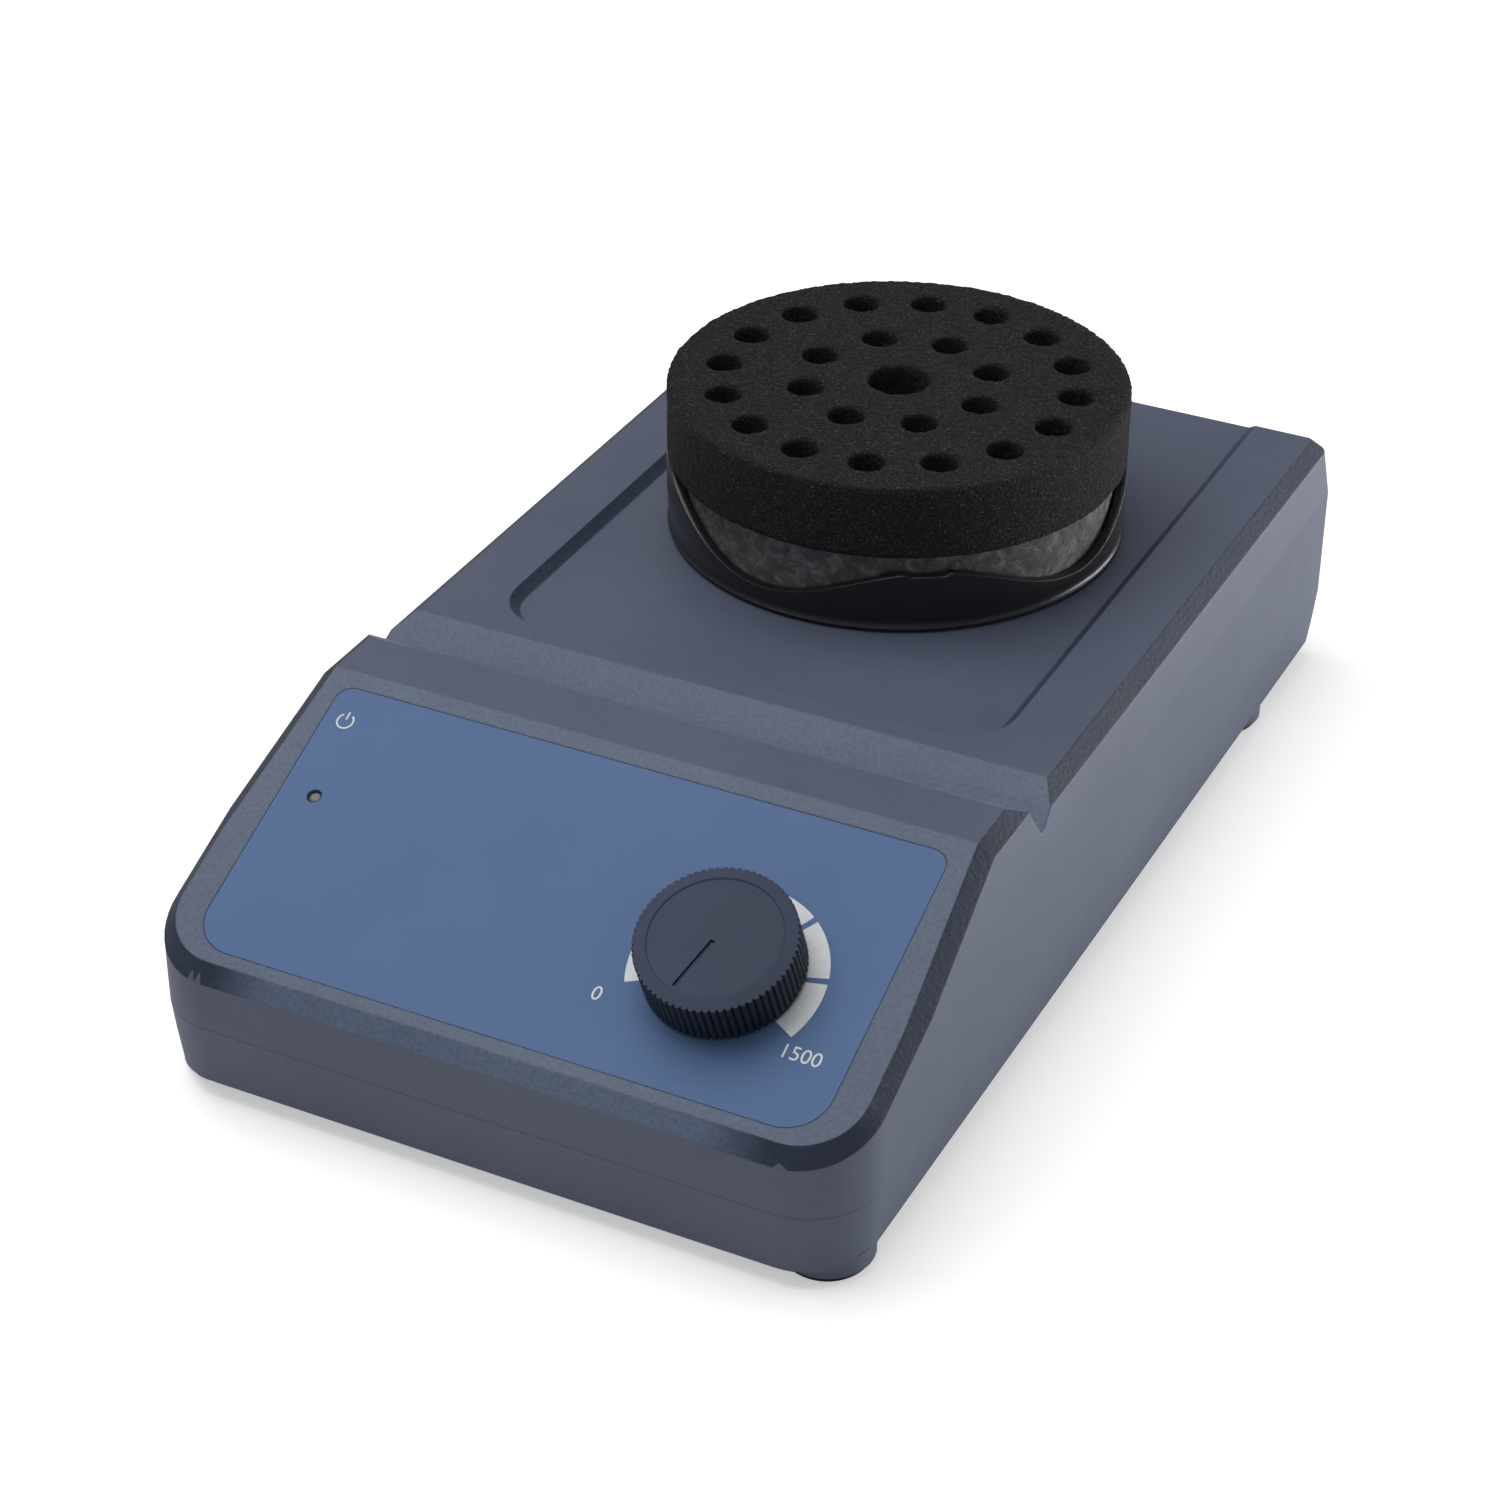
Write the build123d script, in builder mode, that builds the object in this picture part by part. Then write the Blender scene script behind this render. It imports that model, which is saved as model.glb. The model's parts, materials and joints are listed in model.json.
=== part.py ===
from build123d import *
import os
from math import atan2, cos, degrees, pi, radians, sin, tan

os.makedirs("parts", exist_ok=True)

# Microplate shaker: a wedge-fronted bench case, an orbital drive under its deck, and a cup with a
# foam tube insert on top. Millimetres, +Z up, +Y towards the back, origin under the middle of the
# case on the surface that the feet stand on.

# Case
body_width = 150.0
body_length = 260.0
front_corner_radius = 15.0
rear_corner_radius = 6.0
case_bottom_z = 4.5
parting_z = 18.2
wall = 2.5
floor_thickness = 2.5
lean_start_z = 43.5
lean_angle = 9.7
edge_bevel = 2.7
front_edge_z = 31.4
hump_z = 60.35
hump_front_y = -63.6
hump_back_y = -48.2
groove_z = 51.0
groove_front_y = -42.5
groove_back_y = -41.0
deck_bevel_z = 54.0
deck_bevel_y = -36.4
deck_front_y = -31.4
deck_z = 56.3
skirt_lean = 0.7
skirt_bottom_z = 11.0
bottom_inset = 1.5
lip_height = 1.8
lip_gap = 0.15
cut_margin = 1.0

# Shallow tray in the deck, open at the back
tray_cup_gap = 7.1
tray_front_y = -26.0
tray_corner_radius = 12.0
tray_depth = 2.0
tray_wall_run = 2.2

# Control panel, laid on the sloping face
film_thickness = 0.4
film_gap = 0.1
film_side_margin = 9.2
film_top_s = 3.7
film_bottom_s = 67.0
film_top_radius = 3.5
film_bottom_radius = 8.5
led_edge_distance = 7.5
led_s = 29.4
led_radius = 1.5
led_dome = 0.9
led_setback = 0.4
led_flange_drop = 1.2
led_flange_width = 0.8
led_flange_thickness = 1.0
knob_edge_distance = 30.0
knob_s = 39.9

# Speed knob and its potentiometer
knob_radius = 15.5
knob_height = 9.95
knob_lift = 0.5
knob_rim_drop = 0.6
knob_wall = 2.2
knob_top_thickness = 2.6
knob_hub_radius = 5.2
flute_count = 70
flute_depth = 0.5
pointer_width = 1.0
pointer_depth = 0.5
pointer_start = 0.6
pointer_end = 11.9
pointer_angle = -104.0
dish_radius = 12.9
dish_depth = 0.3
pot_shaft_radius = 3.0
pot_bush_radius = 3.6
pot_bush_height = 3.6
pot_body_size = 16.0
pot_body_depth = 9.0
pot_nut_across = 10.0
pot_nut_thickness = 2.0
nut_clearance = 0.8
pot_body_chamfer = 1.5
pot_pin_pitch = 5.0
pot_pin_width = 1.0
pot_pin_thickness = 0.6
pot_shaft_end_gap = 0.2
pot_shaft_chamfer = 0.4
running_gap = 0.05

# Orbital drive
cup_setback = 77.7
orbit_radius = 2.25
motor_radius = 21.0
motor_bottom_z = 10.0
plate_bottom_z = 30.0
plate_thickness = 3.0
plate_width = 104.0
plate_length = 95.0
plate_setback = 2.3
plate_hole_x = 46.0
plate_hole_inset = 6.0
shaft_radius = 4.0
shaft_bearing_radius = 11.0
shaft_bearing_width = 5.0
crank_radius = 14.0
crank_bottom_z = 34.0
crank_thickness = 5.0
crank_pin_top_z = 46.6
counterweight_radius = 25.0
guide_circle_radius = 36.0
guide_count = 3
guide_first_angle = 90.0
guide_pin_radius = 3.0
guide_web_radius = 6.8
guide_web_bottom_z = 34.4
guide_web_thickness = 2.6
guide_bearing_radius = 6.5
guide_boss_radius = 9.0
guide_post_bottom_z = 25.6
guide_pin_top_z = 44.6
guide_bearing_drop = 3.0
guide_boss_drop = 4.0
plate_corner_radius = 6.0
plate_screw_radius = 2.0
plate_screw_head_radius = 3.8
plate_screw_head_height = 2.4
plate_screw_socket_radius = 1.7
plate_screw_socket_depth = 1.4
plate_screw_grip = 7.0
standoff_radius = 5.0
standoff_hole_depth = 9.0
motor_nose = 2.6
motor_end_thickness = 1.0
motor_chamfer = 1.5
motor_groove_rises = (5.0, 12.0)
motor_groove_depth = 0.8
motor_groove_width = 1.6
motor_screw_circle = 16.0
motor_screw_count = 4
motor_screw_radius = 1.6
motor_screw_head_radius = 2.0
motor_screw_head_height = 0.6
bearing_wall = 2.0
fit_gap = 0.1
rotor_end_gap = 0.5
shaft_end_gap = 0.3
crank_cap = 1.5
crank_shoulder = 1.4
crank_chamfer = 0.6
counterweight_setback = 2.0
counterweight_chamfer = 1.5
ball_radius = 1.4
ball_count = 8
cage_half_width = 0.9
cage_thickness = 0.8

# Carrier, with the hub that comes up through the deck
carrier_z = 41.0
carrier_thickness = 3.6
carrier_radius = 46.0
carrier_web_hole_radius = 9.0
hub_radius = 14.0
hub_bottom_z = 39.8
hub_top_z = 56.2
drive_bearing_bottom_z = 40.2
drive_bearing_width = 6.0
deck_hole_radius = 18.5
collar_width = 2.0
collar_height = 0.3
hub_chamfer = 0.5
hub_relief = 0.6
hub_thread_depth = 7.0
carrier_boss_rise = 1.4
carrier_boss_cap = 1.0

# Cup for the tube insert
cup_radius = 49.4
cup_foot_taper = 0.7
cup_wall = 2.0
cup_swell_left = 0.2
cup_floor = 2.0
cup_lip_reach = 0.6
cup_lip_bottom_z = 54.8
cup_lip_height = 0.9
cup_peak_z = 70.9
cup_shoulder_z = 68.3
cup_trough_z = 59.9
cup_wave_angle = -58.0
cup_wave_points = 12
cup_notch_width = 9.0
cup_notch_depth = 0.9
cup_screw_circle = 9.0
cup_screw_count = 3
cup_screw_radius = 1.5
cup_screw_head_radius = 3.2
cup_screw_gap = 0.1
cup_screw_grip = 5.5
cup_screw_socket_radius = 1.4
cup_screw_socket_depth = 1.2

# Foam tube insert
foam_rim_inset = 0.1
foam_gap = 0.5
foam_step_z = 71.5
foam_top_z = 87.8
tube_hole_radius = 3.9
tube_hole_depth = 26.0
outer_circle_radius = 37.85
outer_hole_count = 16
outer_first_angle = 127.0
inner_circle_radius = 20.2
inner_hole_count = 8
inner_first_angle = 126.45
centre_hole_radius = 6.6

# Rear wall: mains inlet and rocker switch
rear_z = 31.0
inlet_x = -16.0
inlet_flange_width = 31.0
inlet_flange_height = 23.0
inlet_flange_thickness = 2.0
inlet_body_width = 27.6
inlet_body_height = 19.4
inlet_body_depth = 22.0
inlet_socket_width = 24.6
inlet_socket_height = 16.4
inlet_socket_depth = 17.0
inlet_pin_spacing = 14.0
inlet_pin_rise = 4.0
inlet_pin_length = 14.0
switch_side_inset = 25.0
switch_width = 15.0
switch_height = 21.0
switch_bezel = 1.6
switch_depth = 16.0
rocker_width = 10.8
rocker_height = 16.4
rocker_tilt = 8.0
rocker_pivot_inset = 5.6
rocker_pin_radius = 0.7
rocker_side_gap = 0.25
rocker_root = 1.5
rocker_dip = 2.6
rocker_end_drop = 1.6
switch_back = 3.0
seat_gap = 0.1
pin_width = 2.0
pin_height = 4.0
pin_chamfer = 0.4
socket_corner = 4.0

# Slots under the motor
vent_pitch = 7.0
vent_count = 7
vent_length = 34.0
vent_width = 2.6

# Feet
foot_side_inset = 10.5
foot_front_inset = 13.9
foot_rear_inset = 39.0
foot_radius = 8.5
foot_pad_height = 3.0
foot_seat = 1.1
plinth_radius = 9.2
foot_screw_radius = 2.0
foot_screw_head_radius = 3.6
foot_screw_head_height = 1.4
foot_screw_socket_radius = 1.4
foot_screw_socket_depth = 0.9
foot_chamfer = 0.8

# Case screws and their bosses
boss_radius = 4.2
boss_side_inset = 13.0
boss_front_y = -73.5
boss_middle_y = -3.5
boss_rear_inset = 19.5
case_screw_radius = 1.6
case_screw_head_radius = 3.0
case_screw_head_height = 1.8
case_screw_grip = 8.0
case_screw_socket_radius = 1.3
case_screw_socket_depth = 1.0

# Boards
board_thickness = 1.6
control_board_side_inset = 19.0
control_board_height = 44.0
control_board_depth = 12.0
supply_board_width = 96.0
supply_board_front_y = -105.5
supply_board_back_y = -15.5
supply_board_z = 13.0
board_centre_s = 34.0
board_hole_inset = 4.0
board_hole_radius = 1.6
board_screw_radius = 1.25
board_screw_head_radius = 2.6
board_screw_head_height = 1.6
board_screw_grip = 4.0
pillar_radius = 3.0
chip_x = -14.0
chip_size = 14.0
chip_height = 1.6
driver_x = 8.0
driver_rise = 8.0
driver_width = 8.0
driver_depth = 5.0
ballast_width = 104.0
ballast_margin = 3.0
ballast_thickness = 3.0
ballast_chamfer = 6.0
transformer_x = -24.0
transformer_rise = 22.0
transformer_core_width = 26.0
transformer_core_length = 22.0
transformer_height = 19.0
transformer_coil_width = 20.0
transformer_coil_length = 30.0
transformer_coil_height = 13.0
transformer_coil_lift = 3.0
capacitor_x = 22.0
capacitor_rises = (8.0, 28.0)
capacitor_radius = 8.0
capacitor_height = 18.0
capacitor_fillet = 0.8
sink_x = 40.0
sink_rise = 18.0
sink_thickness = 3.0
sink_length = 40.0
sink_height = 15.0
fin_pitch = 6.0
fin_count = 7
fin_reach = 4.0
fin_thickness = 1.4
fin_x = 3.4

# Derived places
half_width = body_width / 2
half_length = body_length / 2
cup_y = half_length - cup_setback
cup_foot_radius = cup_radius - cup_foot_taper
cup_lip_radius = cup_foot_radius + cup_lip_reach
foam_radius = cup_radius - foam_rim_inset
foam_lower_radius = cup_radius - cup_wall - foam_gap
tray_half_width = cup_radius + tray_cup_gap
film_half_width = half_width - film_side_margin
control_board_width = body_width - 2 * control_board_side_inset
switch_x = switch_side_inset - half_width
led_x = led_edge_distance - film_half_width
knob_x = film_half_width - knob_edge_distance
plate_front_y = cup_y - plate_setback - plate_length / 2
plate_back_y = plate_front_y + plate_length
plate_hole_front_y = plate_front_y + plate_hole_inset
plate_hole_back_y = plate_back_y - plate_hole_inset
foot_x = half_width - foot_side_inset
foot_front_y = foot_front_inset - half_length
foot_rear_y = half_length - foot_rear_inset
boss_x = half_width - boss_side_inset
boss_rear_y = half_length - boss_rear_inset
panel_angle = atan2(hump_z - front_edge_z, hump_front_y + half_length)
panel_normal = (0, -sin(panel_angle), cos(panel_angle))
panel_plane = Plane(origin=(0, hump_front_y, hump_z), x_dir=(1, 0, 0), z_dir=panel_normal)
tray_z = deck_z - tray_depth
deck_inner_z = tray_z - wall
motor_y = cup_y - orbit_radius
cup_floor_z = hub_top_z + cup_floor
floor_top_z = case_bottom_z + floor_thickness
rear_face_y = half_length
plate_top_z = plate_bottom_z + plate_thickness
drop = wall / cos(panel_angle)
lean_reach = hump_z - lean_start_z + cut_margin
board_hole_grid = (control_board_width - 2 * board_hole_inset, control_board_height - 2 * board_hole_inset)
guide_angles = [guide_first_angle + 360 * step / guide_count for step in range(guide_count)]
foot_places = [(side * foot_x, y) for y in (foot_front_y, foot_rear_y) for side in (-1, 1)]
boss_places = [(side * boss_x, y) for y in (boss_front_y, boss_middle_y, boss_rear_y) for side in (-1, 1)]
plate_places = [(side * plate_hole_x, y) for y in (plate_hole_front_y, plate_hole_back_y) for side in (-1, 1)]


def save(part, name):
    """Label a finished piece and write it as a STEP file of that name."""
    part.label = name
    export_step(part, "parts/" + name + ".step")


def guide_place(angle, shift=0.0):
    """Centre of a guide crank's journal, or of its pin when shifted by the orbit radius."""
    x = guide_circle_radius * cos(radians(angle))
    return (x, motor_y + guide_circle_radius * sin(radians(angle)) + shift)


def rim_point(turn):
    """A point of the cup's rim seen along its wave, at an angle in radians from the shoulder."""
    middle = (cup_shoulder_z + cup_peak_z) / 4 + cup_trough_z / 2
    height = (cup_shoulder_z + cup_peak_z) / 4 - cup_trough_z / 2
    skew = (cup_peak_z - cup_shoulder_z) / 2
    return (cup_radius * sin(turn), middle + height * cos(4 * turn) - skew * cos(2 * turn))


def plan_outline(inset):
    """The case seen from above, inset by a distance: broad front corners, tight rear ones."""
    side = half_width - inset
    end = half_length - inset
    front = front_corner_radius - inset
    rear = max(rear_corner_radius - inset, cut_margin)
    with BuildSketch() as outline:
        with BuildLine():
            Polyline((-side, end), (side, end), (side, -end), (-side, -end), close=True)
        make_face()
        fillet(outline.vertices().group_by(Axis.Y)[0], radius=front)
        fillet(outline.vertices().group_by(Axis.Y)[-1], radius=rear)
    return outline.sketch


def case_envelope(inset, bottom_z):
    """Upright walls up to the lean line, then walls that lean in to above the hump."""
    with BuildPart() as envelope:
        with BuildSketch(Plane.XY.offset(bottom_z)):
            add(plan_outline(inset))
        extrude(amount=lean_start_z - bottom_z)
        with BuildSketch(Plane.XY.offset(lean_start_z)):
            add(plan_outline(inset))
        with BuildSketch(Plane.XY.offset(lean_start_z + lean_reach)):
            add(plan_outline(inset + lean_reach * tan(radians(lean_angle))))
        loft()
    return envelope.part


def side_profile_block(points, inset, bottom_z):
    """A side-view outline drawn across the case and trimmed to the leaning walls."""
    with BuildPart() as block:
        with BuildSketch(Plane.YZ):
            with BuildLine():
                Polyline(*points, close=True)
            make_face()
        extrude(amount=half_width, both=True)
        add(case_envelope(inset, bottom_z), mode=Mode.INTERSECT)
    return block.part


# Upper housing: control wedge and deck are beveled apart, then joined and hollowed
wedge_points = [
    (-half_length, parting_z),
    (-half_length, front_edge_z),
    (hump_front_y, hump_z),
    (hump_back_y, hump_z),
    (groove_front_y, groove_z),
    (groove_front_y, parting_z),
]
deck_points = [
    (groove_front_y, parting_z),
    (groove_front_y, groove_z),
    (groove_back_y, groove_z),
    (deck_bevel_y, deck_bevel_z),
    (deck_front_y, deck_z),
    (half_length, deck_z),
    (half_length, parting_z),
]
cavity_points = [
    (-half_length, parting_z - lip_height),
    (-half_length, front_edge_z - drop),
    (hump_front_y, hump_z - drop),
    (hump_back_y - wall, hump_z - drop),
    (groove_front_y - wall, groove_z - drop),
    (deck_bevel_y, groove_z - drop),
    (deck_front_y, deck_inner_z),
    (half_length, deck_inner_z),
    (half_length, parting_z - lip_height),
]

with BuildPart() as control_wedge:
    add(side_profile_block(wedge_points, 0, parting_z))
    sloping = control_wedge.faces().filter_by(lambda f: f.normal_at().dot(Vector(*panel_normal)) > 0.999)
    crown = control_wedge.faces().sort_by(Axis.Z)[-1:]
    rim = [e for e in sloping[0].edges() + crown[0].edges() if abs(e.center().Y - hump_front_y) > 0.1]
    chamfer(rim, length=edge_bevel)

with BuildPart() as deck_block:
    add(side_profile_block(deck_points, 0, parting_z))
    top = deck_block.faces().sort_by(Axis.Z)[-1]
    rim = [e for e in top.edges() if e.center().Y > deck_front_y + 0.1]
    chamfer(rim, length=edge_bevel)

cavity = side_profile_block(cavity_points, wall, parting_z - lip_height)
with BuildPart() as screw_bosses:
    with BuildSketch(Plane.XY.offset(parting_z)):
        with Locations(*boss_places):
            Circle(boss_radius)
            Circle(case_screw_radius, mode=Mode.SUBTRACT)
    extrude(amount=hump_z - parting_z)
    add(cavity, mode=Mode.INTERSECT)

with BuildPart() as upper_housing:
    add(control_wedge.part)
    add(deck_block.part)
    add(cavity, mode=Mode.SUBTRACT)
    # tray in the deck with sloping side walls, run out through the back
    with BuildSketch(Plane.XY.offset(deck_z)):
        with BuildLine():
            Polyline(
                (-tray_half_width, half_length),
                (-tray_half_width, tray_front_y),
                (tray_half_width, tray_front_y),
                (tray_half_width, half_length),
                close=True,
            )
        tray_outline = make_face()
        fillet(tray_outline.vertices().group_by(Axis.Y)[0], radius=tray_corner_radius)
    extrude(amount=-tray_depth, taper=degrees(atan2(tray_wall_run, tray_depth)), mode=Mode.SUBTRACT)
    with BuildSketch(Plane.XY.offset(deck_z)):
        with Locations((0, half_length - tray_corner_radius)):
            Rectangle(2 * (tray_half_width - tray_wall_run), 4 * tray_corner_radius)
    extrude(amount=-tray_depth, mode=Mode.SUBTRACT)
    # hole for the hub
    with BuildSketch(Plane.XY.offset(deck_z)):
        with Locations((0, motor_y)):
            Circle(deck_hole_radius)
    extrude(amount=-deck_z + parting_z, mode=Mode.SUBTRACT)
    # seat of the panel film, with holes for the potentiometer and the lamp
    with BuildSketch(panel_plane) as film_seat:
        with Locations((0, -(film_top_s + film_bottom_s) / 2)):
            Rectangle(2 * film_half_width, film_bottom_s - film_top_s)
        fillet(film_seat.vertices().group_by(Axis.Y)[-1], radius=film_top_radius)
        fillet(film_seat.vertices().group_by(Axis.Y)[0], radius=film_bottom_radius)
    extrude(amount=-film_thickness, mode=Mode.SUBTRACT)
    with BuildSketch(panel_plane):
        with Locations((knob_x, -knob_s)):
            Circle(pot_bush_radius + running_gap)
        with Locations((led_x, -led_s)):
            Circle(led_radius + running_gap)
    extrude(amount=-3 * wall, mode=Mode.SUBTRACT)
    # rear cut-outs: a shallow seat for each flange, and the hole for its body
    with BuildSketch(Plane.XZ.offset(-rear_face_y)):
        with Locations((inlet_x, rear_z)):
            Rectangle(inlet_body_width + 2 * running_gap, inlet_body_height + 2 * running_gap)
        with Locations((switch_x, rear_z)):
            Rectangle(switch_width - 2 * switch_bezel + 2 * running_gap, switch_height - 2 * switch_bezel)
    extrude(amount=2 * wall, mode=Mode.SUBTRACT)
    with BuildSketch(Plane.XZ.offset(-rear_face_y)):
        with Locations((inlet_x, rear_z)):
            Rectangle(inlet_flange_width, inlet_flange_height)
        with Locations((switch_x, rear_z)):
            Rectangle(switch_width, switch_height)
    extrude(amount=inlet_flange_thickness / 2, mode=Mode.SUBTRACT)
    # screw bosses that come down to the parting line
    add(screw_bosses.part)
    # relief for the lower housing's lip
    with BuildSketch(Plane.XY.offset(parting_z)):
        add(plan_outline(wall / 2 - lip_gap))
        add(plan_outline(wall), mode=Mode.SUBTRACT)
    extrude(amount=lip_height + lip_gap, mode=Mode.SUBTRACT)
save(upper_housing.part, "upper_housing")

# Lower housing: a tapered skirt, a beveled underside and four plinths for the feet
with BuildPart() as lower_housing:
    with BuildSketch(Plane.XY.offset(parting_z)):
        add(plan_outline(0))
    extrude(amount=-(parting_z - skirt_bottom_z), taper=degrees(atan2(skirt_lean, parting_z - skirt_bottom_z)))
    with BuildSketch(Plane.XY.offset(skirt_bottom_z)):
        add(plan_outline(skirt_lean))
    bevel_drop = skirt_bottom_z - case_bottom_z
    extrude(amount=-bevel_drop, taper=degrees(atan2(bottom_inset - skirt_lean, bevel_drop)))
    with BuildSketch(Plane.XY.offset(case_bottom_z + floor_thickness)):
        add(plan_outline(bottom_inset + wall))
    extrude(amount=parting_z - case_bottom_z, mode=Mode.SUBTRACT)
    with BuildSketch(Plane.XY.offset(skirt_bottom_z)):
        add(plan_outline(skirt_lean + wall))
    extrude(amount=parting_z - skirt_bottom_z, mode=Mode.SUBTRACT)
    # lip that keys into the upper housing
    with BuildSketch(Plane.XY.offset(parting_z - wall)):
        add(plan_outline(wall / 2))
        add(plan_outline(skirt_lean + wall), mode=Mode.SUBTRACT)
    extrude(amount=wall + lip_height)
    # plinths, with a seat for each rubber pad
    with BuildSketch(Plane.XY.offset(case_bottom_z + floor_thickness / 2)):
        with Locations(*foot_places):
            Circle(plinth_radius)
    plinth_bottom_z = foot_pad_height - foot_seat
    extrude(amount=-(case_bottom_z + floor_thickness / 2 - plinth_bottom_z))
    with BuildSketch(Plane.XY.offset(plinth_bottom_z)):
        with Locations(*foot_places):
            Circle(foot_radius)
    extrude(amount=foot_seat, mode=Mode.SUBTRACT)
    # columns under the upper housing's bosses and the motor plate's standoffs
    with BuildSketch(Plane.XY.offset(case_bottom_z + floor_thickness / 2)):
        with Locations(*boss_places):
            Circle(boss_radius)
    extrude(amount=parting_z - case_bottom_z - floor_thickness / 2)
    # screw holes: counterbored from below
    with BuildSketch(Plane.XY.offset(case_bottom_z)):
        with Locations(*boss_places):
            Circle(case_screw_radius + running_gap)
    extrude(amount=parting_z, mode=Mode.SUBTRACT)
    with BuildSketch(Plane.XY.offset(case_bottom_z)):
        with Locations(*boss_places):
            Circle(case_screw_head_radius + running_gap)
    extrude(amount=floor_thickness, mode=Mode.SUBTRACT)
    with BuildSketch(Plane.XY):
        with Locations(*foot_places):
            Circle(foot_screw_radius)
        with Locations(*plate_places):
            Circle(case_screw_radius)
    extrude(amount=floor_top_z + wall, mode=Mode.SUBTRACT)
    # slots that let the motor's warm air out
    with BuildSketch(Plane.XY.offset(case_bottom_z)):
        with Locations((0, motor_y)):
            with GridLocations(vent_pitch, 0, vent_count, 1):
                SlotOverall(vent_length, vent_width, rotation=90)
    extrude(amount=floor_thickness, mode=Mode.SUBTRACT)
save(lower_housing.part, "lower_housing")

# Rubber feet and their screws
foot_names = ["foot_front_left", "foot_front_right", "foot_rear_left", "foot_rear_right"]
for foot_name, place in zip(foot_names, foot_places):
    with BuildPart() as foot:
        with BuildSketch():
            with Locations(place):
                Circle(foot_radius)
        extrude(amount=foot_pad_height)
        chamfer(foot.edges().group_by(Axis.Z)[0], length=foot_chamfer)
        with BuildSketch(Plane.XY):
            with Locations(place):
                Circle(foot_screw_head_radius + running_gap)
        extrude(amount=foot_pad_height - foot_seat, mode=Mode.SUBTRACT)
        with BuildSketch(Plane.XY):
            with Locations(place):
                Circle(foot_screw_radius + running_gap)
        extrude(amount=foot_pad_height, mode=Mode.SUBTRACT)
    save(foot.part, foot_name)

with BuildPart() as foot_screws:
    with BuildSketch(Plane.XY.offset(foot_pad_height - foot_seat)):
        with Locations(*foot_places):
            Circle(foot_screw_radius)
    extrude(amount=floor_top_z - foot_pad_height)
    with BuildSketch(Plane.XY.offset(foot_pad_height - foot_seat)):
        with Locations(*foot_places):
            Circle(foot_screw_head_radius)
    extrude(amount=-foot_screw_head_height)
    with BuildSketch(Plane.XY.offset(foot_pad_height - foot_seat - foot_screw_head_height)):
        with Locations(*foot_places):
            RegularPolygon(foot_screw_socket_radius, 6)
    extrude(amount=foot_screw_socket_depth, mode=Mode.SUBTRACT)
save(foot_screws.part, "foot_screws")

with BuildPart() as housing_screws:
    with BuildSketch(Plane.XY.offset(floor_top_z)):
        with Locations(*boss_places):
            Circle(case_screw_head_radius)
    extrude(amount=-case_screw_head_height)
    with BuildSketch(Plane.XY.offset(floor_top_z)):
        with Locations(*boss_places):
            Circle(case_screw_radius)
    extrude(amount=parting_z - floor_top_z + case_screw_grip)
    with BuildSketch(Plane.XY.offset(floor_top_z - case_screw_head_height)):
        with Locations(*boss_places):
            RegularPolygon(case_screw_socket_radius, 6)
    extrude(amount=case_screw_socket_depth, mode=Mode.SUBTRACT)
save(housing_screws.part, "housing_screws")

# Panel film, flush in its seat
with BuildPart() as control_panel_overlay:
    with BuildSketch(panel_plane.offset(-film_thickness)) as film:
        with Locations((0, -(film_top_s + film_bottom_s) / 2)):
            Rectangle(2 * (film_half_width - film_gap), film_bottom_s - film_top_s - 2 * film_gap)
        fillet(film.vertices().group_by(Axis.Y)[-1], radius=film_top_radius)
        fillet(film.vertices().group_by(Axis.Y)[0], radius=film_bottom_radius)
        with Locations((knob_x, -knob_s)):
            Circle(pot_nut_across / 2 + nut_clearance, mode=Mode.SUBTRACT)
        with Locations((led_x, -led_s)):
            Circle(led_radius + running_gap, mode=Mode.SUBTRACT)
    extrude(amount=film_thickness)
save(control_panel_overlay.part, "control_panel_overlay")

# Speed control: potentiometer behind the panel, knob in front of it
knob_plane = Plane(
    origin=panel_plane.from_local_coords(Vector(knob_x, -knob_s, 0)), x_dir=(1, 0, 0), z_dir=panel_normal
)
knob_section = Plane(origin=knob_plane.origin, x_dir=(1, 0, 0), z_dir=-knob_plane.y_dir)
board_z = -wall - control_board_depth
with BuildPart() as potentiometer_body:
    with BuildSketch(knob_plane.offset(-wall)):
        Rectangle(pot_body_size, pot_body_size)
    extrude(amount=-pot_body_depth)
    chamfer(potentiometer_body.edges().filter_by(Axis(knob_plane.origin, panel_normal)), length=pot_body_chamfer)
    with BuildSketch(knob_plane.offset(-wall)):
        Circle(pot_bush_radius)
    extrude(amount=wall + pot_bush_height)
    with BuildSketch(knob_plane.offset(pot_bush_height)):
        Circle(pot_shaft_radius + running_gap)
    extrude(amount=-(pot_bush_height + wall + pot_body_depth / 2), mode=Mode.SUBTRACT)
    with BuildSketch(knob_plane.offset(-wall - pot_body_depth)):
        with Locations((0, -pot_body_size / 4)):
            with GridLocations(pot_pin_pitch, 0, 3, 1):
                Rectangle(pot_pin_width, pot_pin_thickness)
    extrude(amount=-(control_board_depth - pot_body_depth))
save(potentiometer_body.part, "potentiometer_body")

with BuildPart() as potentiometer_nut:
    with BuildSketch(knob_plane):
        RegularPolygon(pot_nut_across / 2, 6, major_radius=False)
        Circle(pot_bush_radius + running_gap / 2, mode=Mode.SUBTRACT)
    extrude(amount=pot_nut_thickness)
save(potentiometer_nut.part, "potentiometer_nut")

knob_base = film_thickness + knob_lift
knob_top = knob_base + knob_height
with BuildPart() as potentiometer_shaft:
    with BuildSketch(knob_plane.offset(-wall - pot_body_depth / 2 + pot_shaft_end_gap)):
        Circle(pot_shaft_radius)
    extrude(amount=wall + pot_body_depth / 2 - pot_shaft_end_gap + knob_top - knob_top_thickness)
    chamfer(potentiometer_shaft.faces().sort_by(Axis.Z)[-1].edges(), length=pot_shaft_chamfer)
save(potentiometer_shaft.part, "potentiometer_shaft")

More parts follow.
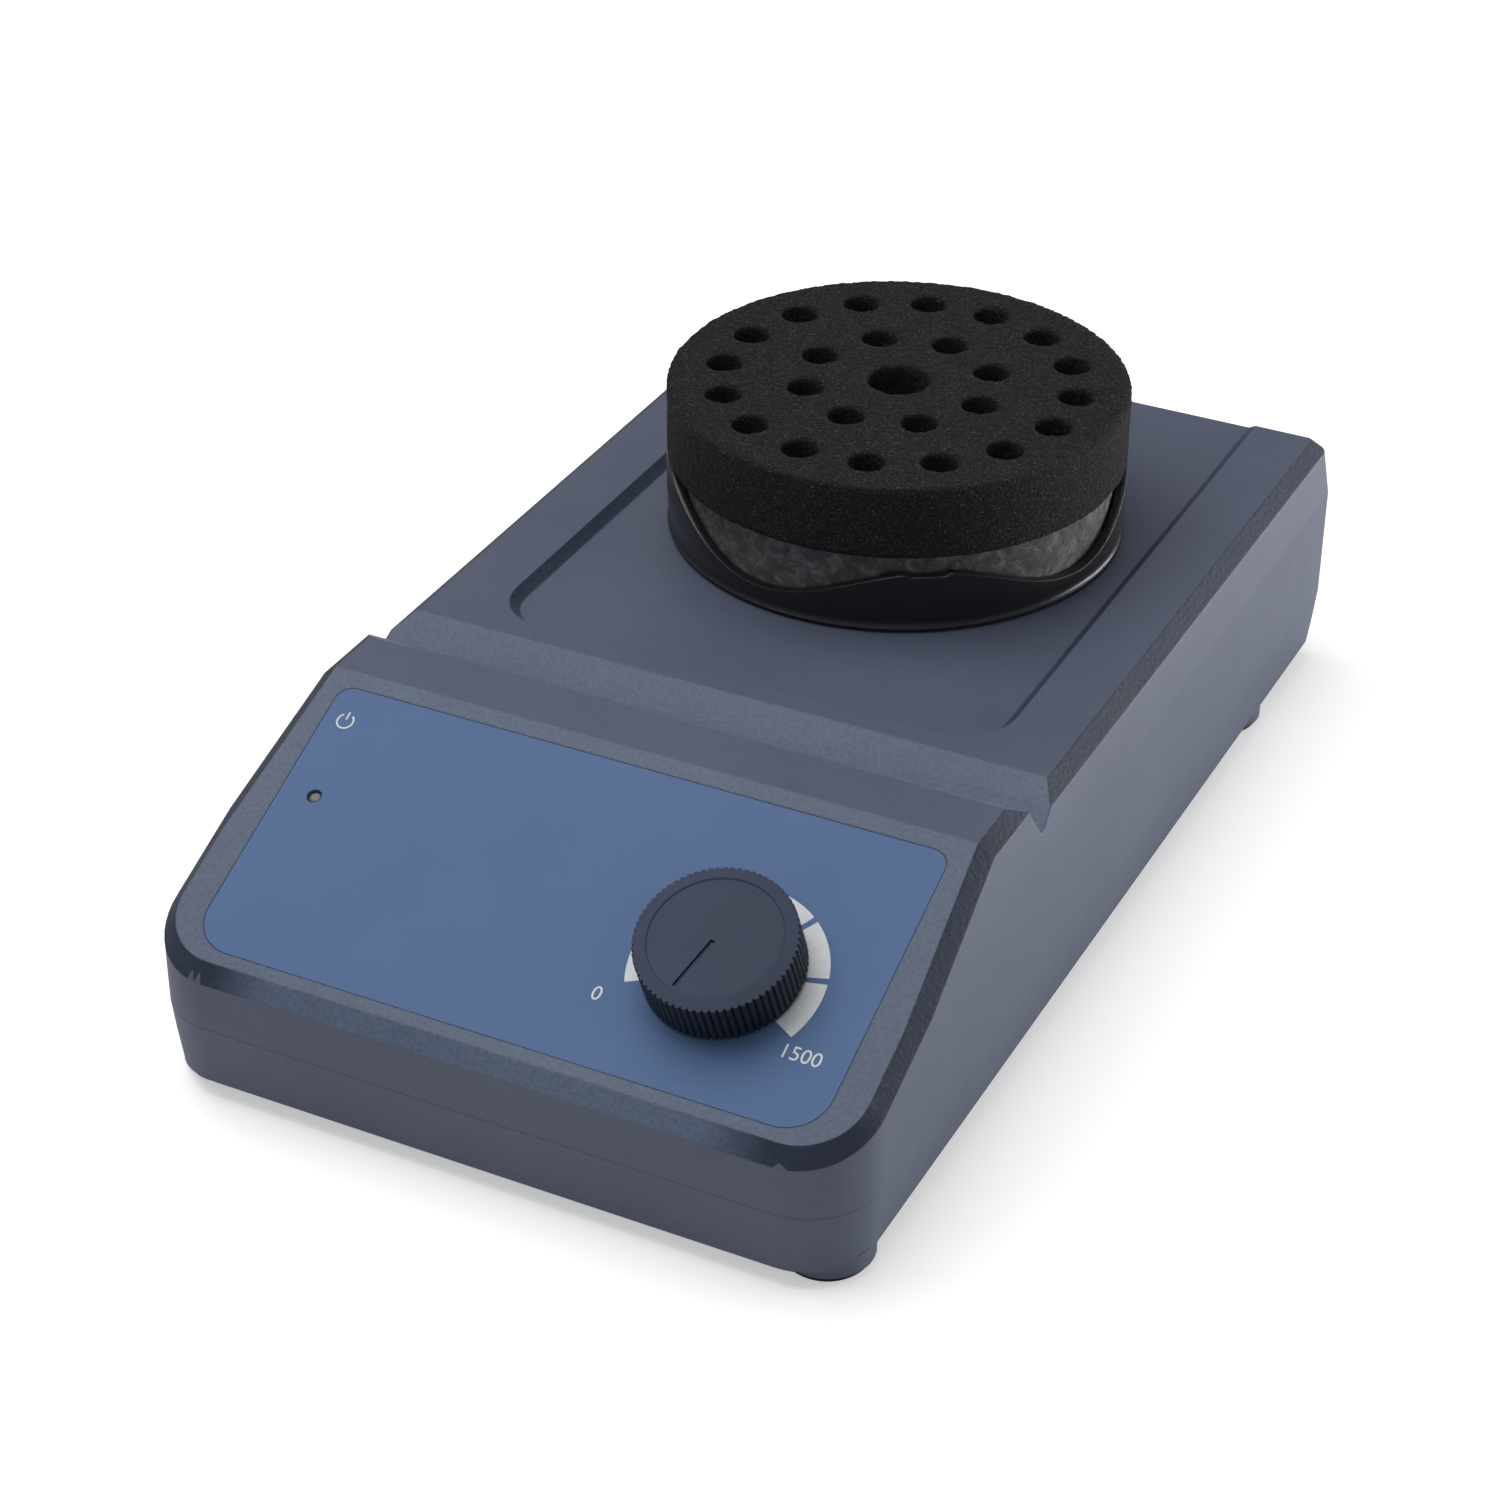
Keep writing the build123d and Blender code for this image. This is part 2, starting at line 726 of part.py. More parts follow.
# Knob: fluted grip, a sloping ring round a dished face, and a pointer slot
flute_points = []
for tooth in range(flute_count):
    middle = 2 * pi * tooth / flute_count
    quarter = 2 * pi / flute_count / 4
    for turn, radius in ((-quarter, knob_radius), (quarter, knob_radius), (2 * quarter, knob_radius - flute_depth)):
        flute_points.append((radius * cos(middle + turn), radius * sin(middle + turn)))
with BuildPart() as speed_knob:
    with BuildSketch(knob_plane.offset(knob_base)):
        with BuildLine():
            Polyline(*flute_points, close=True)
        make_face()
    extrude(amount=knob_height)
    # sloping ring between the dish and the grip
    with BuildSketch(knob_section):
        with BuildLine():
            Polyline((dish_radius, knob_top), (knob_radius, knob_top - knob_rim_drop), (knob_radius + 1, knob_top - knob_rim_drop),
                     (knob_radius + 1, knob_top + 1), (dish_radius, knob_top + 1), close=True)
        make_face()
    revolve(axis=Axis(knob_plane.origin, panel_normal), revolution_arc=360, mode=Mode.SUBTRACT)
    with BuildSketch(knob_plane.offset(knob_top)):
        Circle(dish_radius)
    extrude(amount=-dish_depth, taper=45, mode=Mode.SUBTRACT)
    with BuildSketch(knob_plane.offset(knob_top)):
        with Locations(Location((0, 0), pointer_angle)):
            with Locations(((pointer_start + pointer_end) / 2, 0)):
                Rectangle(pointer_end - pointer_start, pointer_width)
    extrude(amount=-(dish_depth + pointer_depth), mode=Mode.SUBTRACT)
    with BuildSketch(knob_plane.offset(knob_base)):
        Circle(knob_radius - knob_wall)
        Circle(knob_hub_radius, mode=Mode.SUBTRACT)
    extrude(amount=knob_height - knob_top_thickness, mode=Mode.SUBTRACT)
    with BuildSketch(knob_plane.offset(knob_base)):
        Circle(pot_nut_across / 2 + 2 * nut_clearance)
    extrude(amount=pot_bush_height - knob_base + pot_shaft_chamfer, mode=Mode.SUBTRACT)
    with BuildSketch(knob_plane.offset(knob_base)):
        Circle(pot_shaft_radius)
    extrude(amount=knob_height - knob_top_thickness, mode=Mode.SUBTRACT)
save(speed_knob.part, "speed_knob")

# Indicator lamp, standing on the control board
led_plane = Plane(origin=panel_plane.from_local_coords(Vector(led_x, -led_s, 0)), x_dir=(1, 0, 0), z_dir=panel_normal)
led_length = control_board_depth + wall - led_setback
with BuildPart() as indicator_led:
    with BuildSketch(led_plane.offset(board_z)):
        Circle(led_radius)
    extrude(amount=led_length)
    fillet(indicator_led.faces().sort_by(Axis.Z)[-1].edges(), radius=led_dome)
    with BuildSketch(led_plane.offset(-wall - led_flange_drop)):
        Circle(led_radius + led_flange_width)
    extrude(amount=led_flange_thickness)
save(indicator_led.part, "indicator_led")

# Control board, parallel to the panel, on four pillars
with BuildPart() as control_board:
    with BuildSketch(panel_plane.offset(board_z - board_thickness)):
        with Locations((0, -board_centre_s)):
            Rectangle(control_board_width, control_board_height)
            with GridLocations(*board_hole_grid, 2, 2):
                Circle(board_hole_radius, mode=Mode.SUBTRACT)
    extrude(amount=board_thickness)
    with BuildSketch(panel_plane.offset(board_z)):
        with Locations((chip_x, -board_centre_s)):
            Rectangle(chip_size, chip_size)
        with Locations((driver_x, -board_centre_s + driver_rise)):
            Rectangle(driver_width, driver_depth)
    extrude(amount=chip_height)
save(control_board.part, "control_board")

with BuildPart() as board_pillars:
    with BuildSketch(panel_plane.offset(board_z)):
        with Locations((0, -board_centre_s)):
            with GridLocations(*board_hole_grid, 2, 2):
                RegularPolygon(pillar_radius, 6)
    extrude(amount=control_board_depth)
    with BuildSketch(panel_plane.offset(board_z)):
        with Locations((0, -board_centre_s)):
            with GridLocations(*board_hole_grid, 2, 2):
                Circle(board_screw_radius)
    extrude(amount=control_board_depth / 2, mode=Mode.SUBTRACT)
save(board_pillars.part, "board_pillars")

with BuildPart() as board_screws:
    with BuildSketch(panel_plane.offset(board_z - board_thickness)):
        with Locations((0, -board_centre_s)):
            with GridLocations(*board_hole_grid, 2, 2):
                Circle(board_screw_head_radius)
    extrude(amount=-board_screw_head_height)
    with BuildSketch(panel_plane.offset(board_z - board_thickness)):
        with Locations((0, -board_centre_s)):
            with GridLocations(*board_hole_grid, 2, 2):
                Circle(board_screw_radius)
    extrude(amount=board_thickness + board_screw_grip)
save(board_screws.part, "board_screws")

# Mains supply board on the floor of the case
supply_y = (supply_board_front_y + supply_board_back_y) / 2
supply_length = supply_board_back_y - supply_board_front_y
supply_top_z = supply_board_z + board_thickness
supply_pillar_height = supply_board_z - floor_top_z - ballast_thickness
with BuildPart() as ballast_plate:
    with BuildSketch(Plane.XY.offset(floor_top_z)):
        with Locations((0, supply_y)):
            Rectangle(ballast_width, supply_length + 2 * ballast_margin)
    extrude(amount=ballast_thickness)
    chamfer(ballast_plate.edges().filter_by(Axis.Z), length=ballast_chamfer)
save(ballast_plate.part, "ballast_plate")

with BuildPart() as supply_pillars:
    with BuildSketch(Plane.XY.offset(floor_top_z + ballast_thickness)):
        with Locations((0, supply_y)):
            with GridLocations(supply_board_width - 2 * board_hole_inset, supply_length - 2 * board_hole_inset, 2, 2):
                RegularPolygon(pillar_radius, 6)
    extrude(amount=supply_pillar_height)
save(supply_pillars.part, "supply_pillars")

with BuildPart() as power_supply_board:
    with BuildSketch(Plane.XY.offset(supply_board_z)):
        with Locations((0, supply_y)):
            Rectangle(supply_board_width, supply_length)
    extrude(amount=board_thickness)
save(power_supply_board.part, "power_supply_board")

with BuildPart() as supply_transformer:
    with BuildSketch(Plane.XY.offset(supply_top_z)):
        with Locations((transformer_x, supply_y + transformer_rise)):
            Rectangle(transformer_core_width, transformer_core_length)
    extrude(amount=transformer_height)
    with BuildSketch(Plane.XY.offset(supply_top_z + transformer_coil_lift)):
        with Locations((transformer_x, supply_y + transformer_rise)):
            Rectangle(transformer_coil_width, transformer_coil_length)
    extrude(amount=transformer_coil_height)
save(supply_transformer.part, "supply_transformer")

with BuildPart() as supply_capacitors:
    with BuildSketch(Plane.XY.offset(supply_top_z)):
        with Locations(*[(capacitor_x, supply_y + rise) for rise in capacitor_rises]):
            Circle(capacitor_radius)
    extrude(amount=capacitor_height)
    fillet(supply_capacitors.edges().group_by(Axis.Z)[-1], radius=capacitor_fillet)
save(supply_capacitors.part, "supply_capacitors")

with BuildPart() as supply_heat_sink:
    with BuildSketch(Plane.XY.offset(supply_top_z)):
        with Locations((sink_x, supply_y + sink_rise)):
            Rectangle(sink_thickness, sink_length)
            with GridLocations(0, fin_pitch, 1, fin_count):
                with Locations((fin_x, 0)):
                    Rectangle(fin_reach, fin_thickness)
    extrude(amount=sink_height)
save(supply_heat_sink.part, "supply_heat_sink")

# Motor and the steel plate that carries it
with BuildPart() as motor_mount_plate:
    with BuildSketch(Plane.XY.offset(plate_bottom_z)) as plate_outline:
        with Locations((0, (plate_front_y + plate_back_y) / 2)):
            Rectangle(plate_width, plate_back_y - plate_front_y)
        fillet(plate_outline.vertices(), radius=plate_corner_radius)
        with Locations(*plate_places):
            Circle(plate_screw_radius + fit_gap, mode=Mode.SUBTRACT)
        with Locations((0, motor_y)):
            Circle(shaft_bearing_radius + 3 * fit_gap, mode=Mode.SUBTRACT)
            with PolarLocations(motor_screw_circle, motor_screw_count, start_angle=45):
                Circle(motor_screw_radius + fit_gap, mode=Mode.SUBTRACT)
    extrude(amount=plate_thickness)
    # guide bosses that hold the lower bearings of the guide cranks
    with BuildSketch(Plane.XY.offset(plate_bottom_z - guide_boss_drop)):
        with Locations(*[guide_place(angle) for angle in guide_angles]):
            Circle(guide_boss_radius)
    extrude(amount=guide_boss_drop)
    with BuildSketch(Plane.XY.offset(plate_top_z)):
        with Locations(*[guide_place(angle) for angle in guide_angles]):
            Circle(guide_bearing_radius)
    extrude(amount=-plate_thickness - guide_bearing_drop, mode=Mode.SUBTRACT)
    with BuildSketch(Plane.XY.offset(plate_bottom_z)):
        with Locations(*[guide_place(angle) for angle in guide_angles]):
            Circle(guide_pin_radius + 1.0)
    extrude(amount=-guide_boss_drop, mode=Mode.SUBTRACT)
save(motor_mount_plate.part, "motor_mount_plate")

with BuildPart() as plate_standoffs:
    with BuildSketch(Plane.XY.offset(floor_top_z)):
        with Locations(*plate_places):
            RegularPolygon(standoff_radius, 6)
    extrude(amount=plate_bottom_z - floor_top_z)
    with BuildSketch(Plane.XY.offset(plate_bottom_z)):
        with Locations(*plate_places):
            Circle(plate_screw_radius)
    extrude(amount=-standoff_hole_depth, mode=Mode.SUBTRACT)
save(plate_standoffs.part, "plate_standoffs")

with BuildPart() as plate_screws:
    with BuildSketch(Plane.XY.offset(plate_top_z)):
        with Locations(*plate_places):
            Circle(plate_screw_head_radius)
    extrude(amount=plate_screw_head_height)
    with BuildSketch(Plane.XY.offset(plate_top_z + plate_screw_head_height)):
        with Locations(*plate_places):
            RegularPolygon(plate_screw_socket_radius, 6)
    extrude(amount=-plate_screw_socket_depth, mode=Mode.SUBTRACT)
    with BuildSketch(Plane.XY.offset(plate_top_z)):
        with Locations(*plate_places):
            Circle(plate_screw_radius)
    extrude(amount=-plate_thickness - plate_screw_grip)
save(plate_screws.part, "plate_screws")

with BuildPart() as motor_housing:
    with BuildSketch(Plane.XY.offset(motor_bottom_z)):
        with Locations((0, motor_y)):
            Circle(motor_radius)
    extrude(amount=plate_bottom_z - motor_bottom_z)
    chamfer(motor_housing.edges().group_by(Axis.Z)[0], length=motor_chamfer)
    with BuildSketch(Plane.XY.offset(motor_bottom_z)):
        with Locations((0, motor_y)):
            Circle(shaft_bearing_radius)
    extrude(amount=plate_bottom_z - motor_bottom_z + motor_nose)
    with BuildSketch(Plane.XY.offset(motor_bottom_z + motor_end_thickness)):
        with Locations((0, motor_y)):
            Circle(shaft_bearing_radius - bearing_wall)
    extrude(amount=plate_bottom_z, mode=Mode.SUBTRACT)
    # cooling grooves round the can
    for rise in motor_groove_rises:
        with BuildSketch(Plane.XY.offset(motor_bottom_z + rise)):
            with Locations((0, motor_y)):
                Circle(motor_radius + motor_groove_depth)
                Circle(motor_radius - motor_groove_depth, mode=Mode.SUBTRACT)
        extrude(amount=motor_groove_width, mode=Mode.SUBTRACT)
save(motor_housing.part, "motor_housing")

with BuildPart() as motor_screws:
    with BuildSketch(Plane.XY.offset(plate_top_z)):
        with Locations((0, motor_y)):
            with PolarLocations(motor_screw_circle, motor_screw_count, start_angle=45):
                Circle(motor_screw_radius)
    extrude(amount=-plate_thickness)
    with BuildSketch(Plane.XY.offset(plate_top_z)):
        with Locations((0, motor_y)):
            with PolarLocations(motor_screw_circle, motor_screw_count, start_angle=45):
                Circle(motor_screw_head_radius)
    extrude(amount=motor_screw_head_height)
save(motor_screws.part, "motor_screws")

bearing_seat_radius = shaft_bearing_radius - bearing_wall
lower_bearing_z = motor_bottom_z + motor_end_thickness
upper_bearing_z = plate_bottom_z + motor_nose - shaft_bearing_width
for bearing_name, bearing_z in (("motor_bearing_lower", lower_bearing_z), ("motor_bearing_upper", upper_bearing_z)):
    with BuildPart() as motor_bearing:
        with BuildSketch(Plane.XY.offset(bearing_z)):
            with Locations((0, motor_y)):
                Circle(bearing_seat_radius)
                Circle(shaft_radius + running_gap, mode=Mode.SUBTRACT)
        extrude(amount=shaft_bearing_width)
    save(motor_bearing.part, bearing_name)

with BuildPart() as guide_bearings_lower:
    with BuildSketch(Plane.XY.offset(plate_bottom_z - guide_bearing_drop)):
        with Locations(*[guide_place(angle) for angle in guide_angles]):
            Circle(guide_bearing_radius)
            Circle(guide_pin_radius + running_gap, mode=Mode.SUBTRACT)
    extrude(amount=plate_thickness + guide_bearing_drop)
save(guide_bearings_lower.part, "guide_bearings_lower")

# Rotor: shaft, eccentric crank and counterweight
with BuildPart() as motor_shaft:
    with BuildSketch(Plane.XY.offset(lower_bearing_z + shaft_end_gap)):
        with Locations((0, motor_y)):
            Circle(shaft_radius)
    extrude(amount=crank_bottom_z + crank_thickness - crank_cap - lower_bearing_z - shaft_end_gap)
save(motor_shaft.part, "motor_shaft")

with BuildPart() as rotor_magnet:
    with BuildSketch(Plane.XY.offset(lower_bearing_z + shaft_bearing_width + rotor_end_gap)):
        with Locations((0, motor_y)):
            Circle(bearing_seat_radius - rotor_end_gap)
            Circle(shaft_radius, mode=Mode.SUBTRACT)
    extrude(amount=upper_bearing_z - lower_bearing_z - shaft_bearing_width - 2 * rotor_end_gap)
save(rotor_magnet.part, "rotor_magnet")

crank_top_z = crank_bottom_z + crank_thickness
with BuildPart() as eccentric_crank:
    with BuildSketch(Plane.XY.offset(crank_bottom_z)):
        with Locations((0, motor_y)):
            Circle(crank_radius)
    extrude(amount=crank_thickness)
    chamfer(eccentric_crank.edges().group_by(Axis.Z)[-1], length=crank_chamfer)
    with BuildSketch(Plane.XY.offset(crank_top_z)):
        with Locations((0, cup_y)):
            Circle(shaft_radius + crank_shoulder)
    extrude(amount=drive_bearing_bottom_z - crank_top_z)
    with BuildSketch(Plane.XY.offset(crank_top_z)):
        with Locations((0, cup_y)):
            Circle(shaft_radius)
    extrude(amount=crank_pin_top_z - crank_top_z)
    with BuildSketch(Plane.XY.offset(crank_bottom_z)):
        with Locations((0, motor_y)):
            Circle(shaft_radius)
    extrude(amount=crank_thickness - crank_cap, mode=Mode.SUBTRACT)
save(eccentric_crank.part, "eccentric_crank")

# the weight's half ring faces away from the crank pin
with BuildPart() as counterweight:
    with BuildSketch(Plane.XY.offset(crank_bottom_z)):
        with Locations((0, motor_y)):
            Circle(counterweight_radius)
            Circle(crank_radius, mode=Mode.SUBTRACT)
        with Locations((0, motor_y + counterweight_radius / 2 + counterweight_setback)):
            Rectangle(2 * counterweight_radius, counterweight_radius, mode=Mode.SUBTRACT)
    extrude(amount=crank_thickness)
    chamfer(counterweight.edges().filter_by(Axis.Z).sort_by(Axis.Y)[-2:], length=counterweight_chamfer)
save(counterweight.part, "counterweight")

with BuildPart() as drive_bearing_inner_ring:
    with BuildSketch(Plane.XY.offset(drive_bearing_bottom_z)):
        with Locations((0, cup_y)):
            Circle(shaft_radius + bearing_wall)
            Circle(shaft_radius, mode=Mode.SUBTRACT)
    extrude(amount=drive_bearing_width)
save(drive_bearing_inner_ring.part, "drive_bearing_inner_ring")

ball_circle = (shaft_radius + shaft_bearing_radius) / 2
ball_z = drive_bearing_bottom_z + drive_bearing_width / 2
with BuildPart() as drive_bearing_balls:
    with Locations((0, cup_y, ball_z)):
        with PolarLocations(ball_circle, ball_count):
            Sphere(ball_radius)
save(drive_bearing_balls.part, "drive_bearing_balls")

with BuildPart() as drive_bearing_cage:
    with BuildSketch(Plane.XY.offset(ball_z + ball_radius)):
        with Locations((0, cup_y)):
            Circle(ball_circle + cage_half_width)
            Circle(ball_circle - cage_half_width, mode=Mode.SUBTRACT)
    extrude(amount=cage_thickness)
save(drive_bearing_cage.part, "drive_bearing_cage")

# Carrier: spoked plate with a raised hub, driven by the crank pin and kept square by the guide cranks
with BuildPart() as carrier_plate:
    with BuildSketch(Plane.XY.offset(carrier_z)):
        with Locations((0, cup_y)):
            Circle(carrier_radius)
    extrude(amount=carrier_thickness)
    with BuildSketch(Plane.XY.offset(hub_bottom_z)):
        with Locations((0, cup_y)):
            Circle(hub_radius)
    extrude(amount=hub_top_z - hub_bottom_z)
    chamfer(carrier_plate.edges().group_by(Axis.Z)[-1], length=hub_chamfer)
    with BuildSketch(Plane.XY.offset(carrier_z)):
        with Locations((0, cup_y)):
            with PolarLocations(guide_circle_radius, guide_count, start_angle=guide_first_angle + 60):
                Circle(carrier_web_hole_radius)
    extrude(amount=carrier_thickness, mode=Mode.SUBTRACT)
    with BuildSketch(Plane.XY.offset(carrier_z)):
        with Locations(*[guide_place(angle, orbit_radius) for angle in guide_angles]):
            Circle(guide_boss_radius)
    extrude(amount=carrier_thickness + carrier_boss_rise)
    with BuildSketch(Plane.XY.offset(carrier_z)):
        with Locations(*[guide_place(angle, orbit_radius) for angle in guide_angles]):
            Circle(guide_bearing_radius)
    extrude(amount=carrier_thickness + carrier_boss_rise - carrier_boss_cap, mode=Mode.SUBTRACT)
    with BuildSketch(Plane.XY.offset(hub_bottom_z)):
        with Locations((0, cup_y)):
            Circle(shaft_bearing_radius)
    extrude(amount=drive_bearing_bottom_z + drive_bearing_width - hub_bottom_z + hub_relief, mode=Mode.SUBTRACT)
    with BuildSketch(Plane.XY.offset(hub_top_z)):
        with Locations((0, cup_y)):
            with PolarLocations(cup_screw_circle, cup_screw_count):
                Circle(cup_screw_radius)
    extrude(amount=-hub_thread_depth, mode=Mode.SUBTRACT)
save(carrier_plate.part, "carrier_plate")

with BuildPart() as drive_bearing_outer_ring:
    with BuildSketch(Plane.XY.offset(drive_bearing_bottom_z)):
        with Locations((0, cup_y)):
            Circle(shaft_bearing_radius)
            Circle(shaft_bearing_radius - bearing_wall, mode=Mode.SUBTRACT)
    extrude(amount=drive_bearing_width)
save(drive_bearing_outer_ring.part, "drive_bearing_outer_ring")

with BuildPart() as guide_bearings_upper:
    with BuildSketch(Plane.XY.offset(carrier_z)):
        with Locations(*[guide_place(angle, orbit_radius) for angle in guide_angles]):
            Circle(guide_bearing_radius)
            Circle(guide_pin_radius + running_gap, mode=Mode.SUBTRACT)
    extrude(amount=carrier_thickness + carrier_boss_cap / 5)
save(guide_bearings_upper.part, "guide_bearings_upper")

# Guide cranks: a journal in the motor plate, a short web and a pin in the carrier
for number, angle in enumerate(guide_angles, start=1):
    with BuildPart() as guide_crank:
        with BuildSketch(Plane.XY.offset(guide_post_bottom_z)):
            with Locations(guide_place(angle)):
                Circle(guide_pin_radius)
        extrude(amount=guide_web_bottom_z - guide_post_bottom_z)
        with BuildSketch(Plane.XY.offset(guide_web_bottom_z)):
            with Locations(guide_place(angle)):
                Circle(guide_web_radius)
        extrude(amount=guide_web_thickness)
        with BuildSketch(Plane.XY.offset(guide_web_bottom_z)):
            with Locations(guide_place(angle, orbit_radius)):
                Circle(guide_pin_radius)
        extrude(amount=guide_pin_top_z - guide_web_bottom_z)
    save(guide_crank.part, "guide_crank_" + str(number))

# Collar round the deck hole
with BuildPart() as deck_collar:
    with BuildSketch(Plane.XY.offset(deck_inner_z)):
        with Locations((0, motor_y)):
            Circle(deck_hole_radius)
            Circle(deck_hole_radius - collar_width, mode=Mode.SUBTRACT)
    extrude(amount=tray_z - deck_inner_z)
    with BuildSketch(Plane.XY.offset(tray_z)):
        with Locations((0, motor_y)):
            Circle(deck_hole_radius + collar_width)
            Circle(deck_hole_radius - collar_width, mode=Mode.SUBTRACT)
    extrude(amount=collar_height)
save(deck_collar.part, "deck_collar")

# Tube cup: a turned bowl whose rim is cut to a wave in one pass across both sides
with BuildPart() as tube_cup:
    with BuildSketch(Plane.XZ.offset(-cup_y)):
        with BuildLine():
            Polyline(
                (0, hub_top_z),
                (cup_foot_radius - 2 * cup_wall, hub_top_z),
                (cup_foot_radius - cup_wall, cup_lip_bottom_z),
                (cup_lip_radius, cup_lip_bottom_z),
                (cup_lip_radius, cup_lip_bottom_z + cup_lip_height),
                (cup_foot_radius, cup_lip_bottom_z + 2 * cup_lip_height),
            )
            Spline(
                (cup_foot_radius, cup_lip_bottom_z + 2 * cup_lip_height),
                (cup_radius - cup_swell_left, cup_trough_z),
                (cup_radius, cup_peak_z),
            )
            Polyline(
                (cup_radius, cup_peak_z),
                (cup_radius - cup_wall, cup_peak_z),
                (cup_radius - cup_wall, cup_floor_z),
                (0, cup_floor_z),
                (0, hub_top_z),
            )
        make_face()
    revolve(axis=Axis((0, cup_y, 0), (0, 0, 1)), revolution_arc=360)
    wave_plane = Plane(
        origin=(0, cup_y, 0),
        x_dir=(-sin(radians(cup_wave_angle)), cos(radians(cup_wave_angle)), 0),
        z_dir=(cos(radians(cup_wave_angle)), sin(radians(cup_wave_angle)), 0),
    )
    side_rim = [rim_point(pi / 2 * step / cup_wave_points) for step in range(cup_wave_points + 1)]
    other_side = [(-u, z) for u, z in side_rim[:0:-1]]
    top_z = cup_peak_z + cup_wall
    cut_radius = cup_radius + cut_margin
    with BuildSketch(wave_plane):
        with BuildLine():
            Spline(*other_side, *side_rim)
            Polyline((cup_radius, cup_peak_z), (cut_radius, cup_peak_z), (cut_radius, top_z),
                     (-cut_radius, top_z), (-cut_radius, cup_peak_z), (-cup_radius, cup_peak_z))
        make_face()
        with Locations((0, cup_shoulder_z)):
            Rectangle(cup_notch_width, 2 * cup_notch_depth)
    extrude(amount=cut_radius, both=True, mode=Mode.SUBTRACT)
    with Locations((0, cup_y, cup_floor_z)):
        with PolarLocations(cup_screw_circle, cup_screw_count):
            CounterSinkHole(cup_screw_radius + running_gap, cup_screw_head_radius, depth=2 * cup_floor)
save(tube_cup.part, "tube_cup")

with BuildPart() as cup_screws:
    with Locations((0, cup_y, cup_floor_z)):
        with PolarLocations(cup_screw_circle, cup_screw_count):
            Cone(
                bottom_radius=cup_screw_radius,
                top_radius=cup_screw_head_radius - cup_screw_gap,
                height=cup_screw_head_radius - cup_screw_gap - cup_screw_radius,
                align=(Align.CENTER, Align.CENTER, Align.MAX),
            )
            Cylinder(cup_screw_radius, cup_floor + cup_screw_grip, align=(Align.CENTER, Align.CENTER, Align.MAX))
    with BuildSketch(Plane.XY.offset(cup_floor_z)):
        with Locations((0, cup_y)):
            with PolarLocations(cup_screw_circle, cup_screw_count):
                RegularPolygon(cup_screw_socket_radius, 6)
    extrude(amount=-cup_screw_socket_depth, mode=Mode.SUBTRACT)
save(cup_screws.part, "cup_screws")

# Foam insert: a stepped disc with two rings of tube holes and a larger one in the middle
with BuildPart() as foam_insert:
    with BuildSketch(Plane.XY.offset(cup_floor_z)):
        with Locations((0, cup_y)):
            Circle(foam_lower_radius)
    extrude(amount=foam_step_z - cup_floor_z)
    with BuildSketch(Plane.XY.offset(foam_step_z)):
        with Locations((0, cup_y)):
            Circle(foam_radius)
    extrude(amount=foam_top_z - foam_step_z)
    with BuildSketch(Plane.XY.offset(foam_top_z)):
        with Locations((0, cup_y)):
            with PolarLocations(outer_circle_radius, outer_hole_count, start_angle=outer_first_angle):
                Circle(tube_hole_radius)
            with PolarLocations(inner_circle_radius, inner_hole_count, start_angle=inner_first_angle):
                Circle(tube_hole_radius)
            Circle(centre_hole_radius)
    extrude(amount=-tube_hole_depth, mode=Mode.SUBTRACT)
save(foam_insert.part, "foam_insert")

# Mains inlet: flange, body and socket, with three pins
rear_plane = Plane(origin=(0, rear_face_y, rear_z), x_dir=(-1, 0, 0), z_dir=(0, 1, 0))
with BuildPart() as power_inlet:
    with BuildSketch(rear_plane.offset(-inlet_flange_thickness / 2)):
        with Locations((-inlet_x, 0)):
            Rectangle(inlet_flange_width - 2 * seat_gap, inlet_flange_height - 2 * seat_gap)
    extrude(amount=inlet_flange_thickness / 2 - seat_gap)
    with BuildSketch(rear_plane.offset(-inlet_flange_thickness / 2)):
        with Locations((-inlet_x, 0)):
            Rectangle(inlet_body_width, inlet_body_height)
    extrude(amount=-inlet_body_depth)
    with BuildSketch(rear_plane) as socket:
        with Locations((-inlet_x, 0)):
            Rectangle(inlet_socket_width, inlet_socket_height)
        chamfer(socket.vertices().group_by(Axis.Y)[-1], length=socket_corner)
    extrude(amount=-inlet_socket_depth, mode=Mode.SUBTRACT)
save(power_inlet.part, "power_inlet")

with BuildPart() as inlet_pins:
    with BuildSketch(rear_plane.offset(-inlet_socket_depth)):
        with Locations((-inlet_x, 0)):
            with Locations((-inlet_pin_spacing / 2, -inlet_pin_rise / 2), (inlet_pin_spacing / 2, -inlet_pin_rise / 2)):
                Rectangle(pin_width, pin_height)
            with Locations((0, inlet_pin_rise / 2)):
                Rectangle(pin_width, pin_height)
    extrude(amount=inlet_pin_length)
    chamfer(inlet_pins.faces().sort_by(Axis.Y)[-3:].edges(), length=pin_chamfer)
save(inlet_pins.part, "inlet_pins")

